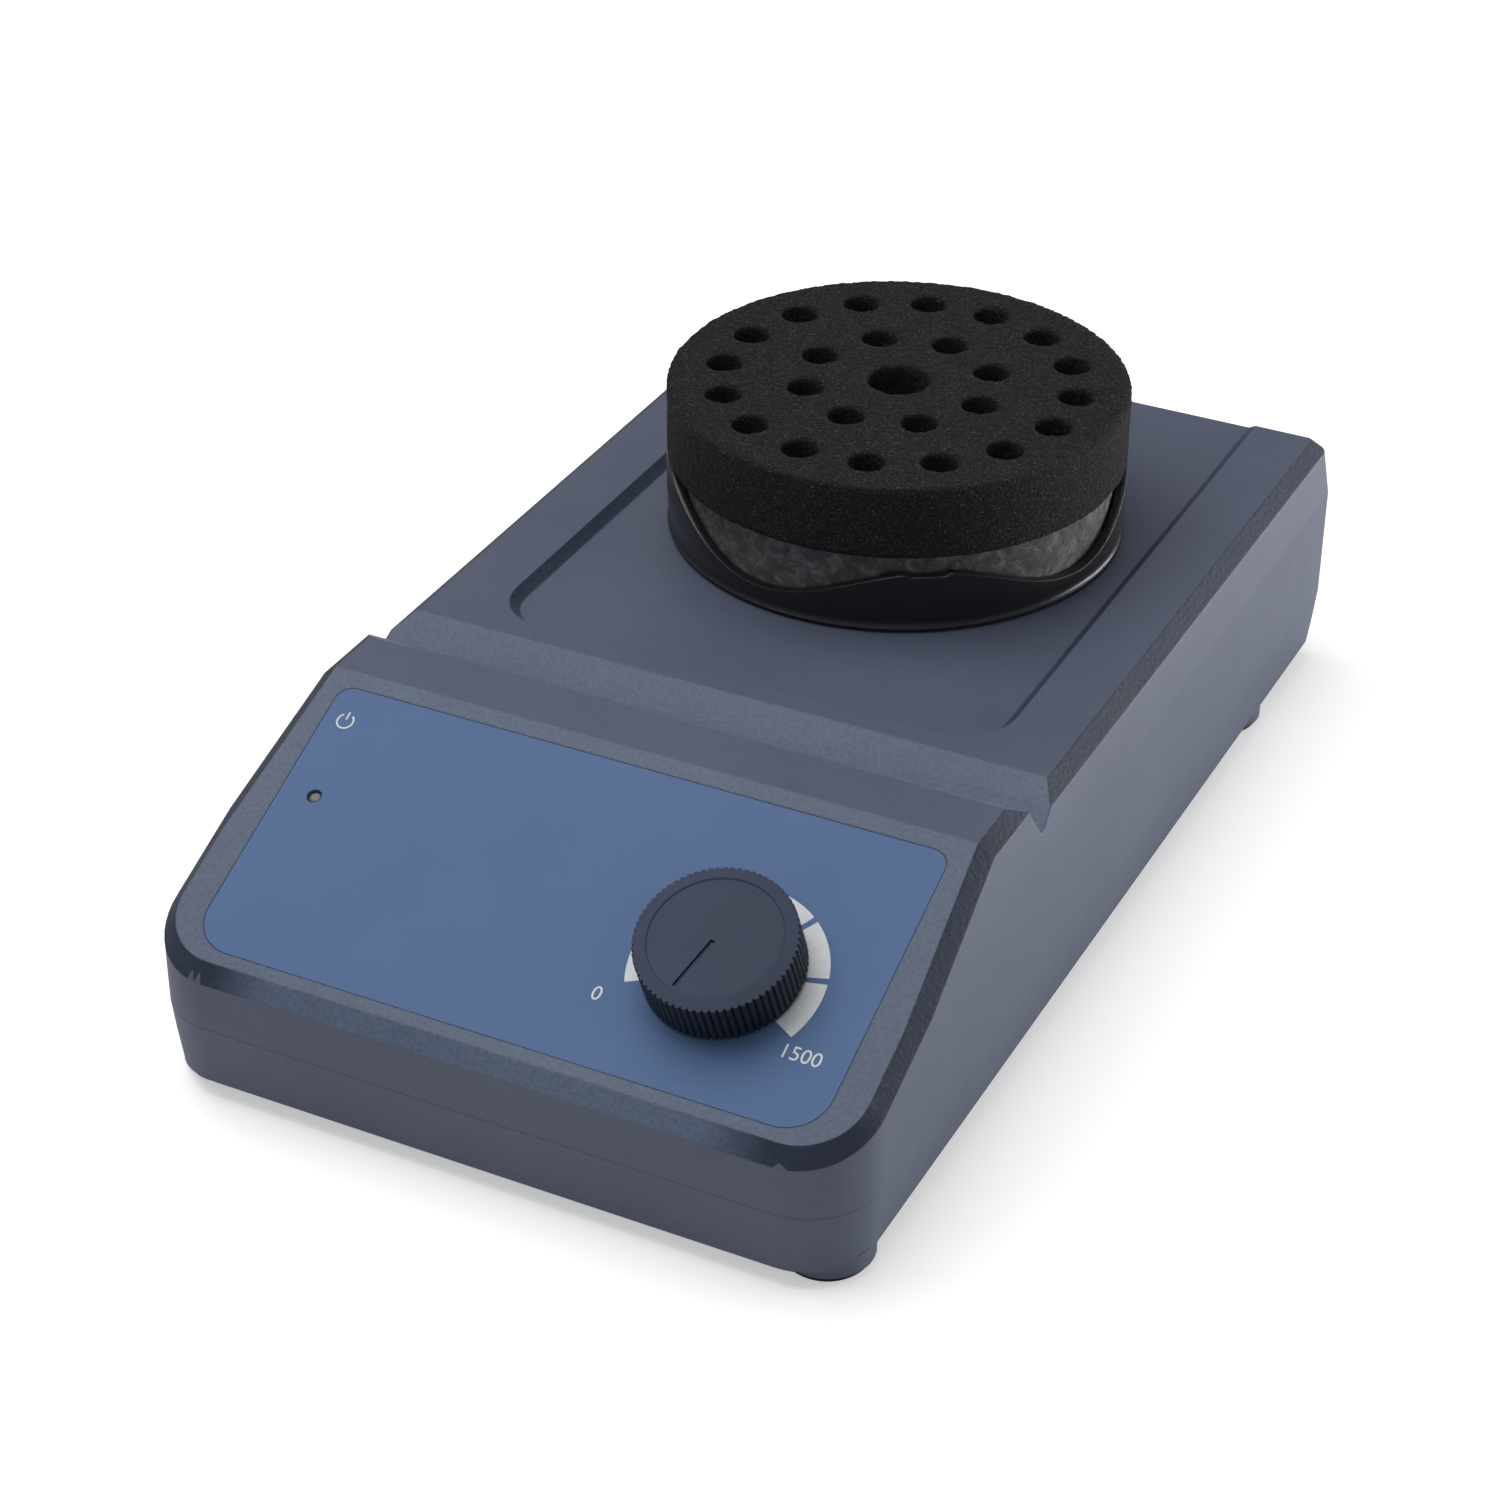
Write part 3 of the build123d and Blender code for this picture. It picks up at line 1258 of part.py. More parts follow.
# Rocker switch: bezel with a box behind the wall, and the rocker on its pivot
rocker_axis_plane = Plane(
    origin=(switch_x, rear_face_y - rocker_pivot_inset, rear_z),
    x_dir=(0, cos(radians(rocker_tilt)), sin(radians(rocker_tilt))),
    z_dir=(1, 0, 0),
)
with BuildPart() as switch_frame:
    with BuildSketch(rear_plane.offset(-inlet_flange_thickness / 2)):
        with Locations((-switch_x, 0)):
            Rectangle(switch_width - 2 * seat_gap, switch_height - 2 * seat_gap)
    extrude(amount=inlet_flange_thickness / 2 - seat_gap)
    with BuildSketch(rear_plane.offset(-inlet_flange_thickness / 2)):
        with Locations((-switch_x, 0)):
            Rectangle(switch_width - 2 * switch_bezel, switch_height - 2 * switch_bezel - 2 * seat_gap)
    extrude(amount=-switch_depth)
    with BuildSketch(rear_plane):
        with Locations((-switch_x, 0)):
            Rectangle(rocker_width + 2 * rocker_side_gap, rocker_height + 4 * rocker_side_gap)
    extrude(amount=-switch_depth + switch_back, mode=Mode.SUBTRACT)
    # pin that the rocker turns on
    with BuildSketch(rocker_axis_plane.offset(-rocker_width / 2 - rocker_side_gap)):
        Circle(rocker_pin_radius)
    extrude(amount=rocker_width + 2 * rocker_side_gap)
save(switch_frame.part, "switch_frame")

with BuildPart() as power_rocker:
    with BuildSketch(rocker_axis_plane.offset(-rocker_width / 2)):
        with BuildLine():
            Polyline(
                (-rocker_root, -rocker_height / 2 + 2.0),
                (rocker_pivot_inset - rocker_end_drop, -rocker_height / 2 + 0.3),
                (rocker_pivot_inset - rocker_dip, 0),
                (rocker_pivot_inset - rocker_end_drop, rocker_height / 2 - 0.3),
                (-rocker_root, rocker_height / 2 - 2.0),
                close=True,
            )
        make_face()
        Circle(rocker_pin_radius + running_gap, mode=Mode.SUBTRACT)
    extrude(amount=rocker_width)
save(power_rocker.part, "power_rocker")
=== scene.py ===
"""Dresses a compact orbital shaker with a foam tube insert for its closing renders."""
import json
import logging
from dataclasses import dataclass, field
from enum import Enum
from math import atan2, cos, degrees, pi, radians, sin
from typing import Any, Iterable, Optional, Sequence

import bmesh
import bpy
from mathutils import Matrix, Vector, noise


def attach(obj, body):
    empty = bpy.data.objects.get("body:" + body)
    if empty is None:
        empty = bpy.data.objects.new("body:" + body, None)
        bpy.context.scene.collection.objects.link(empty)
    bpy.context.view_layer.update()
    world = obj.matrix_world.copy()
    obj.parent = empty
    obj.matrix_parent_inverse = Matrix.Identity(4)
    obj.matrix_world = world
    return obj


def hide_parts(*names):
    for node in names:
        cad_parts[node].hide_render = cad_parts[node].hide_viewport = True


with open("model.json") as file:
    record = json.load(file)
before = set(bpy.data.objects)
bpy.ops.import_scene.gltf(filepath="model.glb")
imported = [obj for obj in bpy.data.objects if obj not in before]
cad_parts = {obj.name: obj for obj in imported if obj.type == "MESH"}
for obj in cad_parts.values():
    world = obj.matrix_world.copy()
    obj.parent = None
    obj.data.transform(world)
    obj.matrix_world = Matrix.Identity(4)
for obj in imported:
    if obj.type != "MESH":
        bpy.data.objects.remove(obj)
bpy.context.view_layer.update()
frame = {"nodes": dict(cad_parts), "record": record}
log = logging.getLogger("shaker")

MM_PER_M = 1000.0
MM = 1 / MM_PER_M
PHOTO_SIDE_PX = 1500
SENSOR_MM = 36.0

# The curve between stored sRGB values and light.
SRGB_KNEE = 0.04045
SRGB_SLOPE = 12.92
SRGB_OFFSET = 0.055
SRGB_POWER = 2.4

# Numbers of the Mix node's sockets, which hold a share, two plain values and two colours.
SHARE = 0
FIRST_VALUE = 2
SECOND_VALUE = 3
FIRST_COLOUR = 6
SECOND_COLOUR = 7
MIXED_VALUE = 0
MIXED_COLOUR = 2

# In a copy of a CAD mesh, points within WELD_MM become one point, and faces within FLAT_DEG one face.
WELD_MM = 0.002
FLAT_DEG = 0.4
# Points of a turned shape this near to each other are one point, and this near to a level are on it.
NEAR_MM = 0.01
# Rounding takes the edges that are sharper than this.
ROUNDED_FROM_DEG = 28.0
# How strongly large faces outweigh small ones in the shading, from 1 to 100.
LARGE_FACE_WEIGHT = 80

INK_MM = 0.03
ARC_STEP_DEG = 2.0
LEAST_ARC_STEPS = 6
# Height above the bench where the foam's smeared skin ends and its open cells start.
FOAM_SKIN_TOP = 71.5


def linear(hex_colour: str) -> tuple:
    """Turn an sRGB hex colour into the linear colour that shaders take.

    Args:
        hex_colour: Six hex digits, without a hash.

    Returns:
        Red, green, blue and an alpha of 1.
    """
    channels = [int(hex_colour[i:i + 2], 16) / 255 for i in (0, 2, 4)]
    toned = [c / SRGB_SLOPE if c <= SRGB_KNEE else ((c + SRGB_OFFSET) / (1 + SRGB_OFFSET)) ** SRGB_POWER
             for c in channels]
    return (*toned, 1.0)


def per_mm(size_mm: float) -> float:
    """Texture scale that gives a pattern a repeat of size_mm on Object coordinates."""
    return MM_PER_M / size_mm


def add_node(tree: Any, kind: str, settings: Optional[dict] = None, inputs: Optional[dict] = None,
             stops: Sequence[tuple] = ()) -> Any:
    """Add a shader node with its settings, socket values and incoming links.

    Args:
        tree: The node tree that gets the node.
        kind: The node's type, such as ShaderNodeTexNoise.
        settings: Attributes of the node.
        inputs: Socket name or number to a value, or to an output socket that is linked in.
        stops: Positions and linear colours of a colour ramp, in order.

    Returns:
        The new node.
    """
    made = tree.nodes.new(kind)
    for name, value in (settings or {}).items():
        setattr(made, name, value)
    for name, value in (inputs or {}).items():
        if isinstance(value, bpy.types.NodeSocket):
            tree.links.new(value, made.inputs[name])
        else:
            made.inputs[name].default_value = value
    if stops:
        elements = made.color_ramp.elements
        while len(elements) < len(stops):
            elements.new(0.5)
        for element, (position, colour) in zip(elements, stops):
            element.position = position
            element.color = colour
    return made


def start_material(name: str) -> tuple:
    """Make a material with Blender's own shader.

    Args:
        name: The material's name.

    Returns:
        The material, its node tree and its Principled shader.
    """
    material = bpy.data.materials.new(name)
    material.use_nodes = True
    return material, material.node_tree, material.node_tree.nodes["Principled BSDF"]


def add_object(name: str, data: Any) -> Any:
    """Put an object that holds the given data into the scene.

    Args:
        name: The object's name.
        data: Its mesh, curve, lamp or camera.

    Returns:
        The object.
    """
    holder = bpy.data.objects.new(name, data)
    bpy.context.scene.collection.objects.link(holder)
    return holder


class Grain(Enum):
    """Texture of a mould, as the width and the depth of its grain in millimetres.

    Real grain is finer than this, and is drawn as coarse as it needs to show.
    """

    SATIN = (0.55, 0.012)
    LEATHER = (0.8, 0.11)
    POLISHED = (3.0, 0.003)


@dataclass(frozen=True)
class Finish:
    """A surface: what it is made of and how it was made.

    Its colour drifts between two over clouds of cloud_mm, and its roughness wanders by sheen_spread over
    patches of sheen_mm. The refraction is Blender's own unless a finish says otherwise.
    """

    name: str
    colour: str
    shade: str
    roughness: float = 0.5
    ior: float = 1.5
    cloud_mm: float = 42.0
    cloud_bounds: tuple = (0.35, 0.65)
    sheen_mm: float = 9.0
    sheen_spread: float = 0.02

    def start(self) -> tuple:
        """Make the material with its shader and a source of Object coordinates.

        Returns:
            The material, its node tree, its Principled shader and the coordinate socket.
        """
        material, tree, shader = start_material(self.name)
        shader.inputs["IOR"].default_value = self.ior
        place = add_node(tree, "ShaderNodeTexCoord").outputs["Object"]
        return material, tree, shader, place

    def clouds(self, tree: Any, place: Any) -> Any:
        """Drift slowly between the finish's two colours.

        Args:
            tree: The material's node tree.
            place: Socket with Object coordinates.

        Returns:
            Socket with the colour.
        """
        patches = add_node(tree, "ShaderNodeTexNoise", inputs={
            "Vector": place, "Scale": per_mm(self.cloud_mm), "Detail": 4.0, "Roughness": 0.6})
        low, high = self.cloud_bounds
        return add_node(tree, "ShaderNodeValToRGB", inputs={"Fac": patches.outputs["Fac"]}, stops=[
            (low, linear(self.shade)), (high, linear(self.colour))]).outputs["Color"]

    def sheen(self, tree: Any, place: Any) -> Any:
        """Let the roughness wander about the finish's own value.

        Args:
            tree: The material's node tree.
            place: Socket with Object coordinates.

        Returns:
            Socket with the roughness.
        """
        wander = add_node(tree, "ShaderNodeTexNoise", inputs={
            "Vector": place, "Scale": per_mm(self.sheen_mm), "Detail": 3.0})
        return add_node(tree, "ShaderNodeMapRange", inputs={
            "Value": wander.outputs["Fac"], "From Min": 0.3, "From Max": 0.7,
            "To Min": self.roughness - self.sheen_spread,
            "To Max": self.roughness + self.sheen_spread}).outputs["Result"]


@dataclass(frozen=True)
class MouldedPlastic(Finish):
    """Injection-moulded plastic. The mould's spark or leather texture breaks up its highlight.

    With a deep colour, the base darkens into it between two distances from the middle of the object, as
    painted shade.
    """

    grain: Grain = Grain.SATIN
    edge_mm: float = 0.5
    # The deep colour is painted shade, which the base darkens into towards the sides.
    deep: str = ""
    painted_shade_bounds_mm: tuple = (46.0, 58.0)
    pit_ratio: float = 1.3
    pit_weight: float = 0.6
    speck_bounds: tuple = (0.38, 0.62)
    speck_dark: tuple = (0.86, 0.86, 0.87, 1.0)
    speck_light: tuple = (1.1, 1.1, 1.1, 1.0)
    faint_speckle: float = 0.35

    def material(self) -> Any:
        """Build the material.

        Returns:
            The material.
        """
        material, tree, shader, place = self.start()
        width_mm, depth_mm = self.grain.value
        base = self.clouds(tree, place)
        if self.deep:
            base = self.paint_shade_at_sides(tree, place, base)
        fine = add_node(tree, "ShaderNodeTexNoise", inputs={
            "Vector": place, "Scale": per_mm(width_mm), "Detail": 5.0, "Roughness": 0.62})
        pits = add_node(tree, "ShaderNodeTexVoronoi", {"feature": "SMOOTH_F1"}, {
            "Vector": place, "Scale": per_mm(width_mm * self.pit_ratio), "Smoothness": 0.5})
        surface = add_node(tree, "ShaderNodeMath", {"operation": "MULTIPLY_ADD"}, {
            0: pits.outputs["Distance"], 1: self.pit_weight, 2: fine.outputs["Fac"]})
        low, high = self.speck_bounds
        speck = add_node(tree, "ShaderNodeValToRGB", inputs={"Fac": fine.outputs["Fac"]}, stops=[
            (low, self.speck_dark), (high, self.speck_light)])
        speckled = add_node(tree, "ShaderNodeMix", {"data_type": "RGBA", "blend_type": "MULTIPLY"}, {
            SHARE: 1.0 if self.grain is Grain.LEATHER else self.faint_speckle,
            FIRST_COLOUR: base, SECOND_COLOUR: speck.outputs["Color"]})
        tree.links.new(speckled.outputs[MIXED_COLOUR], shader.inputs["Base Color"])
        rounded = add_node(tree, "ShaderNodeBevel", {"samples": 4}, {"Radius": self.edge_mm * MM})
        bump = add_node(tree, "ShaderNodeBump", inputs={
            "Height": surface.outputs[0], "Distance": depth_mm * MM, "Strength": 0.9,
            "Normal": rounded.outputs["Normal"]})
        tree.links.new(bump.outputs["Normal"], shader.inputs["Normal"])
        tree.links.new(self.sheen(tree, place), shader.inputs["Roughness"])
        return material

    def paint_shade_at_sides(self, tree: Any, place: Any, base: Any) -> Any:
        """Paint shade by blending the base colour into the deep one, out towards both sides of the object.

        Args:
            tree: The material's node tree.
            place: Socket with Object coordinates.
            base: Socket with the base colour.

        Returns:
            Socket with the blended colour.
        """
        across = add_node(tree, "ShaderNodeSeparateXYZ", inputs={"Vector": place}).outputs["X"]
        reach = add_node(tree, "ShaderNodeMath", {"operation": "ABSOLUTE"}, {0: across}).outputs[0]
        starts_mm, ends_mm = self.painted_shade_bounds_mm
        share = add_node(tree, "ShaderNodeMapRange", inputs={
            "Value": reach, "From Min": starts_mm * MM, "From Max": ends_mm * MM})
        blend = add_node(tree, "ShaderNodeMix", {"data_type": "RGBA"}, {
            SHARE: share.outputs["Result"], FIRST_COLOUR: base, SECOND_COLOUR: linear(self.deep)})
        return blend.outputs[MIXED_COLOUR]


@dataclass(frozen=True)
class PrintedFilm(Finish):
    """Polyester film with a matt, fine-grained hard coat over a solid print.

    The coat's real tooth is finer than tooth_mm, and is drawn as coarse as it needs to show.
    """

    cloud_mm: float = 70.0
    cloud_bounds: tuple = (0.25, 0.75)
    sheen_mm: float = 14.0
    sheen_spread: float = 0.03
    tooth_mm: float = 0.4
    tooth_depth_mm: float = 0.004

    def material(self) -> Any:
        """Build the material.

        Returns:
            The material.
        """
        material, tree, shader, place = self.start()
        tree.links.new(self.clouds(tree, place), shader.inputs["Base Color"])
        tooth = add_node(tree, "ShaderNodeTexNoise", inputs={
            "Vector": place, "Scale": per_mm(self.tooth_mm), "Detail": 3.0})
        bump = add_node(tree, "ShaderNodeBump", inputs={
            "Height": tooth.outputs["Fac"], "Distance": self.tooth_depth_mm * MM, "Strength": 0.8})
        tree.links.new(bump.outputs["Normal"], shader.inputs["Normal"])
        tree.links.new(self.sheen(tree, place), shader.inputs["Roughness"])
        return material


@dataclass(frozen=True)
class OpenCellFoam(Finish):
    """Open-cell polyurethane foam: dark pores between struts that catch the light, and a skin below.

    The skin reads as a smeared mid grey, lightened as painted fill light, and ends in a ragged seam about
    skin_top_mm above the bench.
    """

    pore_bounds: tuple = (0.34, 0.52)
    # The bright stops are painted highlights on the struts.
    strut_highlight_stops: tuple = ((0.63, "444446"), (0.72, "a0a0a4"))
    # The skin's smeared greys, lifted to paint in fill light.
    skin_and_fill_light_stops: tuple = ((0.34, "454546"), (0.52, "626263"), (0.7, "929294"))
    pore_mm: float = 0.8
    dust_mm: float = 0.5
    smear_mm: float = 3.0
    pore_depth_mm: float = 0.6
    dust_weight: float = 1.4
    skin_top_mm: float = FOAM_SKIN_TOP
    seam_reach_mm: float = 2.4
    seam_bounds_mm: tuple = (-1.6, -1.0)

    def material(self) -> Any:
        """Build the material.

        Returns:
            The material.
        """
        material, tree, shader, place = self.start()
        cells = add_node(tree, "ShaderNodeTexVoronoi", {"feature": "DISTANCE_TO_EDGE"}, {
            "Vector": place, "Scale": per_mm(self.pore_mm), "Randomness": 1.0})
        dust = add_node(tree, "ShaderNodeTexNoise", inputs={
            "Vector": place, "Scale": per_mm(self.dust_mm), "Detail": 6.0, "Roughness": 0.75})
        smear = add_node(tree, "ShaderNodeTexNoise", inputs={
            "Vector": place, "Scale": per_mm(self.smear_mm), "Detail": 8.0, "Roughness": 0.75,
            "Distortion": 0.7})
        low, high = self.pore_bounds
        cell_stops = ((low, self.shade), (high, self.colour), *self.strut_highlight_stops)
        open_cells = add_node(tree, "ShaderNodeValToRGB", inputs={"Fac": dust.outputs["Fac"]}, stops=[
            (position, linear(colour)) for position, colour in cell_stops])
        skin = add_node(tree, "ShaderNodeValToRGB", inputs={"Fac": smear.outputs["Fac"]}, stops=[
            (position, linear(colour)) for position, colour in self.skin_and_fill_light_stops])
        above = self.above_seam(tree, place)
        blend = add_node(tree, "ShaderNodeMix", {"data_type": "RGBA"}, {
            SHARE: above, FIRST_COLOUR: skin.outputs["Color"], SECOND_COLOUR: open_cells.outputs["Color"]})
        tree.links.new(blend.outputs[MIXED_COLOUR], shader.inputs["Base Color"])
        deep = add_node(tree, "ShaderNodeMath", {"operation": "MULTIPLY_ADD"}, {
            0: dust.outputs["Fac"], 1: self.dust_weight, 2: cells.outputs["Distance"]})
        lift = add_node(tree, "ShaderNodeMix", {"data_type": "FLOAT"}, {
            SHARE: above, FIRST_VALUE: smear.outputs["Fac"], SECOND_VALUE: deep.outputs[0]})
        bump = add_node(tree, "ShaderNodeBump", inputs={
            "Height": lift.outputs[MIXED_VALUE], "Distance": self.pore_depth_mm * MM, "Strength": 0.8})
        tree.links.new(bump.outputs["Normal"], shader.inputs["Normal"])
        shader.inputs["Roughness"].default_value = self.roughness
        return material

    def above_seam(self, tree: Any, place: Any) -> Any:
        """Tell the open cells from the skin below them, along a ragged seam.

        Args:
            tree: The material's node tree.
            place: Socket with Object coordinates.

        Returns:
            Socket that is 0 on the skin and 1 on the open cells.
        """
        height = add_node(tree, "ShaderNodeSeparateXYZ", inputs={"Vector": place})
        ragged = add_node(tree, "ShaderNodeTexNoise", inputs={
            "Vector": place, "Scale": per_mm(self.smear_mm), "Detail": 5.0, "Roughness": 0.8})
        seam = add_node(tree, "ShaderNodeMath", {"operation": "MULTIPLY_ADD"}, {
            0: ragged.outputs["Fac"], 1: -self.seam_reach_mm * MM, 2: height.outputs["Z"]})
        low, high = self.seam_bounds_mm
        return add_node(tree, "ShaderNodeMapRange", inputs={
            "Value": seam.outputs[0], "From Min": (self.skin_top_mm + low) * MM,
            "From Max": (self.skin_top_mm + high) * MM}).outputs["Result"]


@dataclass(frozen=True)
class Rubber(Finish):
    """Moulded rubber: dull, with a bloom of dust in its pores, which are drawn coarse enough to show."""

    cloud_mm: float = 5.0
    sheen_mm: float = 4.0
    sheen_spread: float = 0.06
    pore_mm: float = 0.7
    pore_depth_mm: float = 0.03

    def material(self) -> Any:
        """Build the material.

        Returns:
            The material.
        """
        material, tree, shader, place = self.start()
        tree.links.new(self.clouds(tree, place), shader.inputs["Base Color"])
        pores = add_node(tree, "ShaderNodeTexNoise", inputs={
            "Vector": place, "Scale": per_mm(self.pore_mm), "Detail": 4.0})
        bump = add_node(tree, "ShaderNodeBump", inputs={
            "Height": pores.outputs["Fac"], "Distance": self.pore_depth_mm * MM, "Strength": 0.7})
        tree.links.new(bump.outputs["Normal"], shader.inputs["Normal"])
        tree.links.new(self.sheen(tree, place), shader.inputs["Roughness"])
        return material


@dataclass(frozen=True)
class Metal(Finish):
    """Turned, drawn or plated metal: fine tool lines along one axis, drawn coarse enough to show."""

    cloud_mm: float = 18.0
    sheen_mm: float = 6.0
    sheen_spread: float = 0.06
    line_mm: float = 0.3
    line_depth_mm: float = 0.01
    stretch: float = 12.0

    def material(self) -> Any:
        """Build the material.

        Returns:
            The material.
        """
        material, tree, shader, place = self.start()
        shader.inputs["Metallic"].default_value = 1.0
        tree.links.new(self.clouds(tree, place), shader.inputs["Base Color"])
        drawn = add_node(tree, "ShaderNodeMapping", inputs={
            "Vector": place, "Scale": (1.0, 1.0, self.stretch)})
        lines = add_node(tree, "ShaderNodeTexNoise", inputs={
            "Vector": drawn.outputs["Vector"], "Scale": per_mm(self.line_mm * self.stretch), "Detail": 4.0})
        bump = add_node(tree, "ShaderNodeBump", inputs={
            "Height": lines.outputs["Fac"], "Distance": self.line_depth_mm * MM, "Strength": 0.5})
        tree.links.new(bump.outputs["Normal"], shader.inputs["Normal"])
        tree.links.new(self.sheen(tree, place), shader.inputs["Roughness"])
        return material


@dataclass(frozen=True)
class Ink(Finish):
    """Screen-printed ink: a thin, slightly uneven white layer."""

    cloud_mm: float = 1.5
    sheen_mm: float = 1.0
    sheen_spread: float = 0.05

    def material(self) -> Any:
        """Build the material.

        Returns:
            The material.
        """
        material, tree, shader, place = self.start()
        tree.links.new(self.clouds(tree, place), shader.inputs["Base Color"])
        tree.links.new(self.sheen(tree, place), shader.inputs["Roughness"])
        return material


@dataclass(frozen=True)
class PaperFloor:
    """Matt paper that keeps a shadow, with a glow that only the camera sees, so that it nears white."""

    name: str = "paper_floor"
    colour: str = "f7f7f7"
    glow_colour: str = "ffffff"
    glow: float = 0.45
    roughness: float = 0.9

    def material(self) -> Any:
        """Build the material.

        Returns:
            The material.
        """
        material, tree, shader = start_material(self.name)
        shader.inputs["Base Color"].default_value = linear(self.colour)
        shader.inputs["Roughness"].default_value = self.roughness
        shader.inputs["Specular IOR Level"].default_value = 0.0
        shader.inputs["Emission Color"].default_value = linear(self.glow_colour)
        seen = add_node(tree, "ShaderNodeLightPath").outputs["Is Camera Ray"]
        lift = add_node(tree, "ShaderNodeMath", {"operation": "MULTIPLY"}, {0: seen, 1: self.glow})
        tree.links.new(lift.outputs[0], shader.inputs["Emission Strength"])
        return material


FINISHES = {finish.name: finish for finish in (
    # Spark-textured ABS of the walls and the deck: slate blue, with a broad soft highlight.
    MouldedPlastic("satin_abs", "586074", "545b70", edge_mm=0.6),
    # Leather-grained ABS of the rims: the same blue broken into light and dark specks.
    MouldedPlastic("leather_abs", "5b687f", "55617a", 0.55, 1.52, grain=Grain.LEATHER, edge_mm=0.6),
    # The same grain on the outer rims, with painted shade that falls off to a deep navy out towards the
    # sides.
    MouldedPlastic("leather_painted_shade", "5f6c83", "58657d", 0.6, 1.42, grain=Grain.LEATHER, edge_mm=0.6,
                   deep="273144"),
    # Printed polyester: an even, matt mid blue.
    PrintedFilm("panel_film", "5a76a1", "5774a0", 0.65, 1.38),
    # Screen-printed white with a faint unevenness.
    Ink("white_ink", "e6e9ea", "dde1e4"),
    # Moulded smoke-grey lens of an unlit lamp, with a small clear highlight.
    MouldedPlastic("lamp_lens", "6b6a68", "5d5b58", 0.3, grain=Grain.POLISHED, edge_mm=0.2),
    # Spark-textured nylon of the knob's dish: dull dark blue.
    MouldedPlastic("knob_plastic", "3b445c", "353e54", 0.62, 1.4, edge_mm=0.15),
    # The knob's fluted grip, darker than the dish because its flutes shade each other.
    MouldedPlastic("knob_flute_shade", "111a2b", "0d1524", 0.55, 1.45, edge_mm=0.15),
    # Moulded nylon of the inlet and the switch: plain black with a soft shine.
    MouldedPlastic("black_plastic", "1c1c1e", "161617", 0.45, edge_mm=0.25),
    # Polished acetal of the cup: black that mirrors the lamps in long streaks.
    MouldedPlastic("cup_gloss", "202022", "19191b", 0.32, grain=Grain.POLISHED, edge_mm=0.3),
    # Cut polyurethane foam: near black, sprinkled with painted highlights on its struts.
    OpenCellFoam("foam", "1c1c1d", "0b0b0c", 0.95, 1.4),
    # Moulded rubber of the feet: dull black.
    Rubber("foot_rubber", "1b1c20", "131417", 0.75),
    # Moulded rubber of the deck's collar, a little smoother than the feet.
    Rubber("seal_rubber", "1f1f21", "161618", 0.7),
    # Epoxy board under solder resist: smooth dark green.
    MouldedPlastic("green_board", "1f5a35", "184a2b", 0.4, grain=Grain.POLISHED, edge_mm=0.1),
    # Turned brass of pins and nuts: warm yellow with fine tool lines.
    Metal("brass", "c9a25a", "b8924c", 0.3),
    # Machined aluminium: pale grey with fine tool lines.
    Metal("aluminium", "c4c6c9", "b4b6ba", 0.35),
    # Plated steel of shafts, screws and plates: a darker grey than the aluminium.
    Metal("steel", "a8a8ab", "98989b", 0.38),
)}

# Slots of the record whose finish has another name. The others share theirs.
SLOT_FINISH = {"case_abs": "satin_abs", "board": "green_board", "rubber_seal": "seal_rubber"}


class Wardrobe:
    """Makes each finish's material once and hands it out."""

    def __init__(self) -> None:
        """Start with nothing made."""
        self.made: dict = {}

    def get(self, name: str) -> Any:
        """Give the material of a finish, made when first asked for.

        Args:
            name: The finish's name.

        Returns:
            The material.
        """
        if name not in self.made:
            self.made[name] = FINISHES[name].material()
        return self.made[name]


WARDROBE = Wardrobe()


def make_piece(name: str, shape: Any, finishes: Iterable[str], body: str) -> Any:
    """Turn a bmesh into a finished piece that rides on a body.

    Args:
        name: The piece's name.
        shape: Its bmesh, which is freed.
        finishes: Names of its finishes, by material index.
        body: The body it rides on.

    Returns:
        The new object.
    """
    mesh = bpy.data.meshes.new(name)
    shape.to_mesh(mesh)
    shape.free()
    piece = add_object(name, mesh)
    for finish in finishes:
        mesh.materials.append(WARDROBE.get(finish))
    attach(piece, body)
    log.info("%s: %d faces on %s", name, len(mesh.polygons), body)
    return piece


def evaluated_mesh(holder: Any) -> Any:
    """Give a new mesh of an object, as its curve or its modifiers leave it."""
    bpy.context.view_layer.update()
    return bpy.data.meshes.new_from_object(holder.evaluated_get(bpy.context.evaluated_depsgraph_get()))


def shade_by_angle(shape: Any, limit_deg: float = 30.0) -> None:
    """Shade faces smooth, but keep marked edges and edges sharper than the limit crisp.

    Args:
        shape: The bmesh.
        limit_deg: Angle between an edge's faces from which it stays crisp.
    """
    for face in shape.faces:
        face.smooth = True
    for edge in shape.edges:
        gentle = len(edge.link_faces) == 2 and edge.calc_face_angle(0.0) < radians(limit_deg)
        edge.smooth = edge.smooth and gentle


def weigh_normals(piece: Any) -> None:
    """Let the large faces decide the shading beside narrow rounded edges.

    Args:
        piece: The finished piece.
    """
    weighted = piece.modifiers.new("Weighted Normals", "WEIGHTED_NORMAL")
    weighted.keep_sharp = True
    weighted.weight = LARGE_FACE_WEIGHT


def merged_copy(node: str) -> Any:
    """Copy a CAD node into a closed bmesh, with its flat faces joined up.

    Args:
        node: Name of the CAD node.

    Returns:
        The bmesh.
    """
    shape = bmesh.new()
    shape.from_mesh(frame["nodes"][node].data)
    bmesh.ops.remove_doubles(shape, verts=shape.verts, dist=WELD_MM * MM)
    bmesh.ops.dissolve_limit(shape, angle_limit=radians(FLAT_DEG), verts=shape.verts, edges=shape.edges)
    return shape


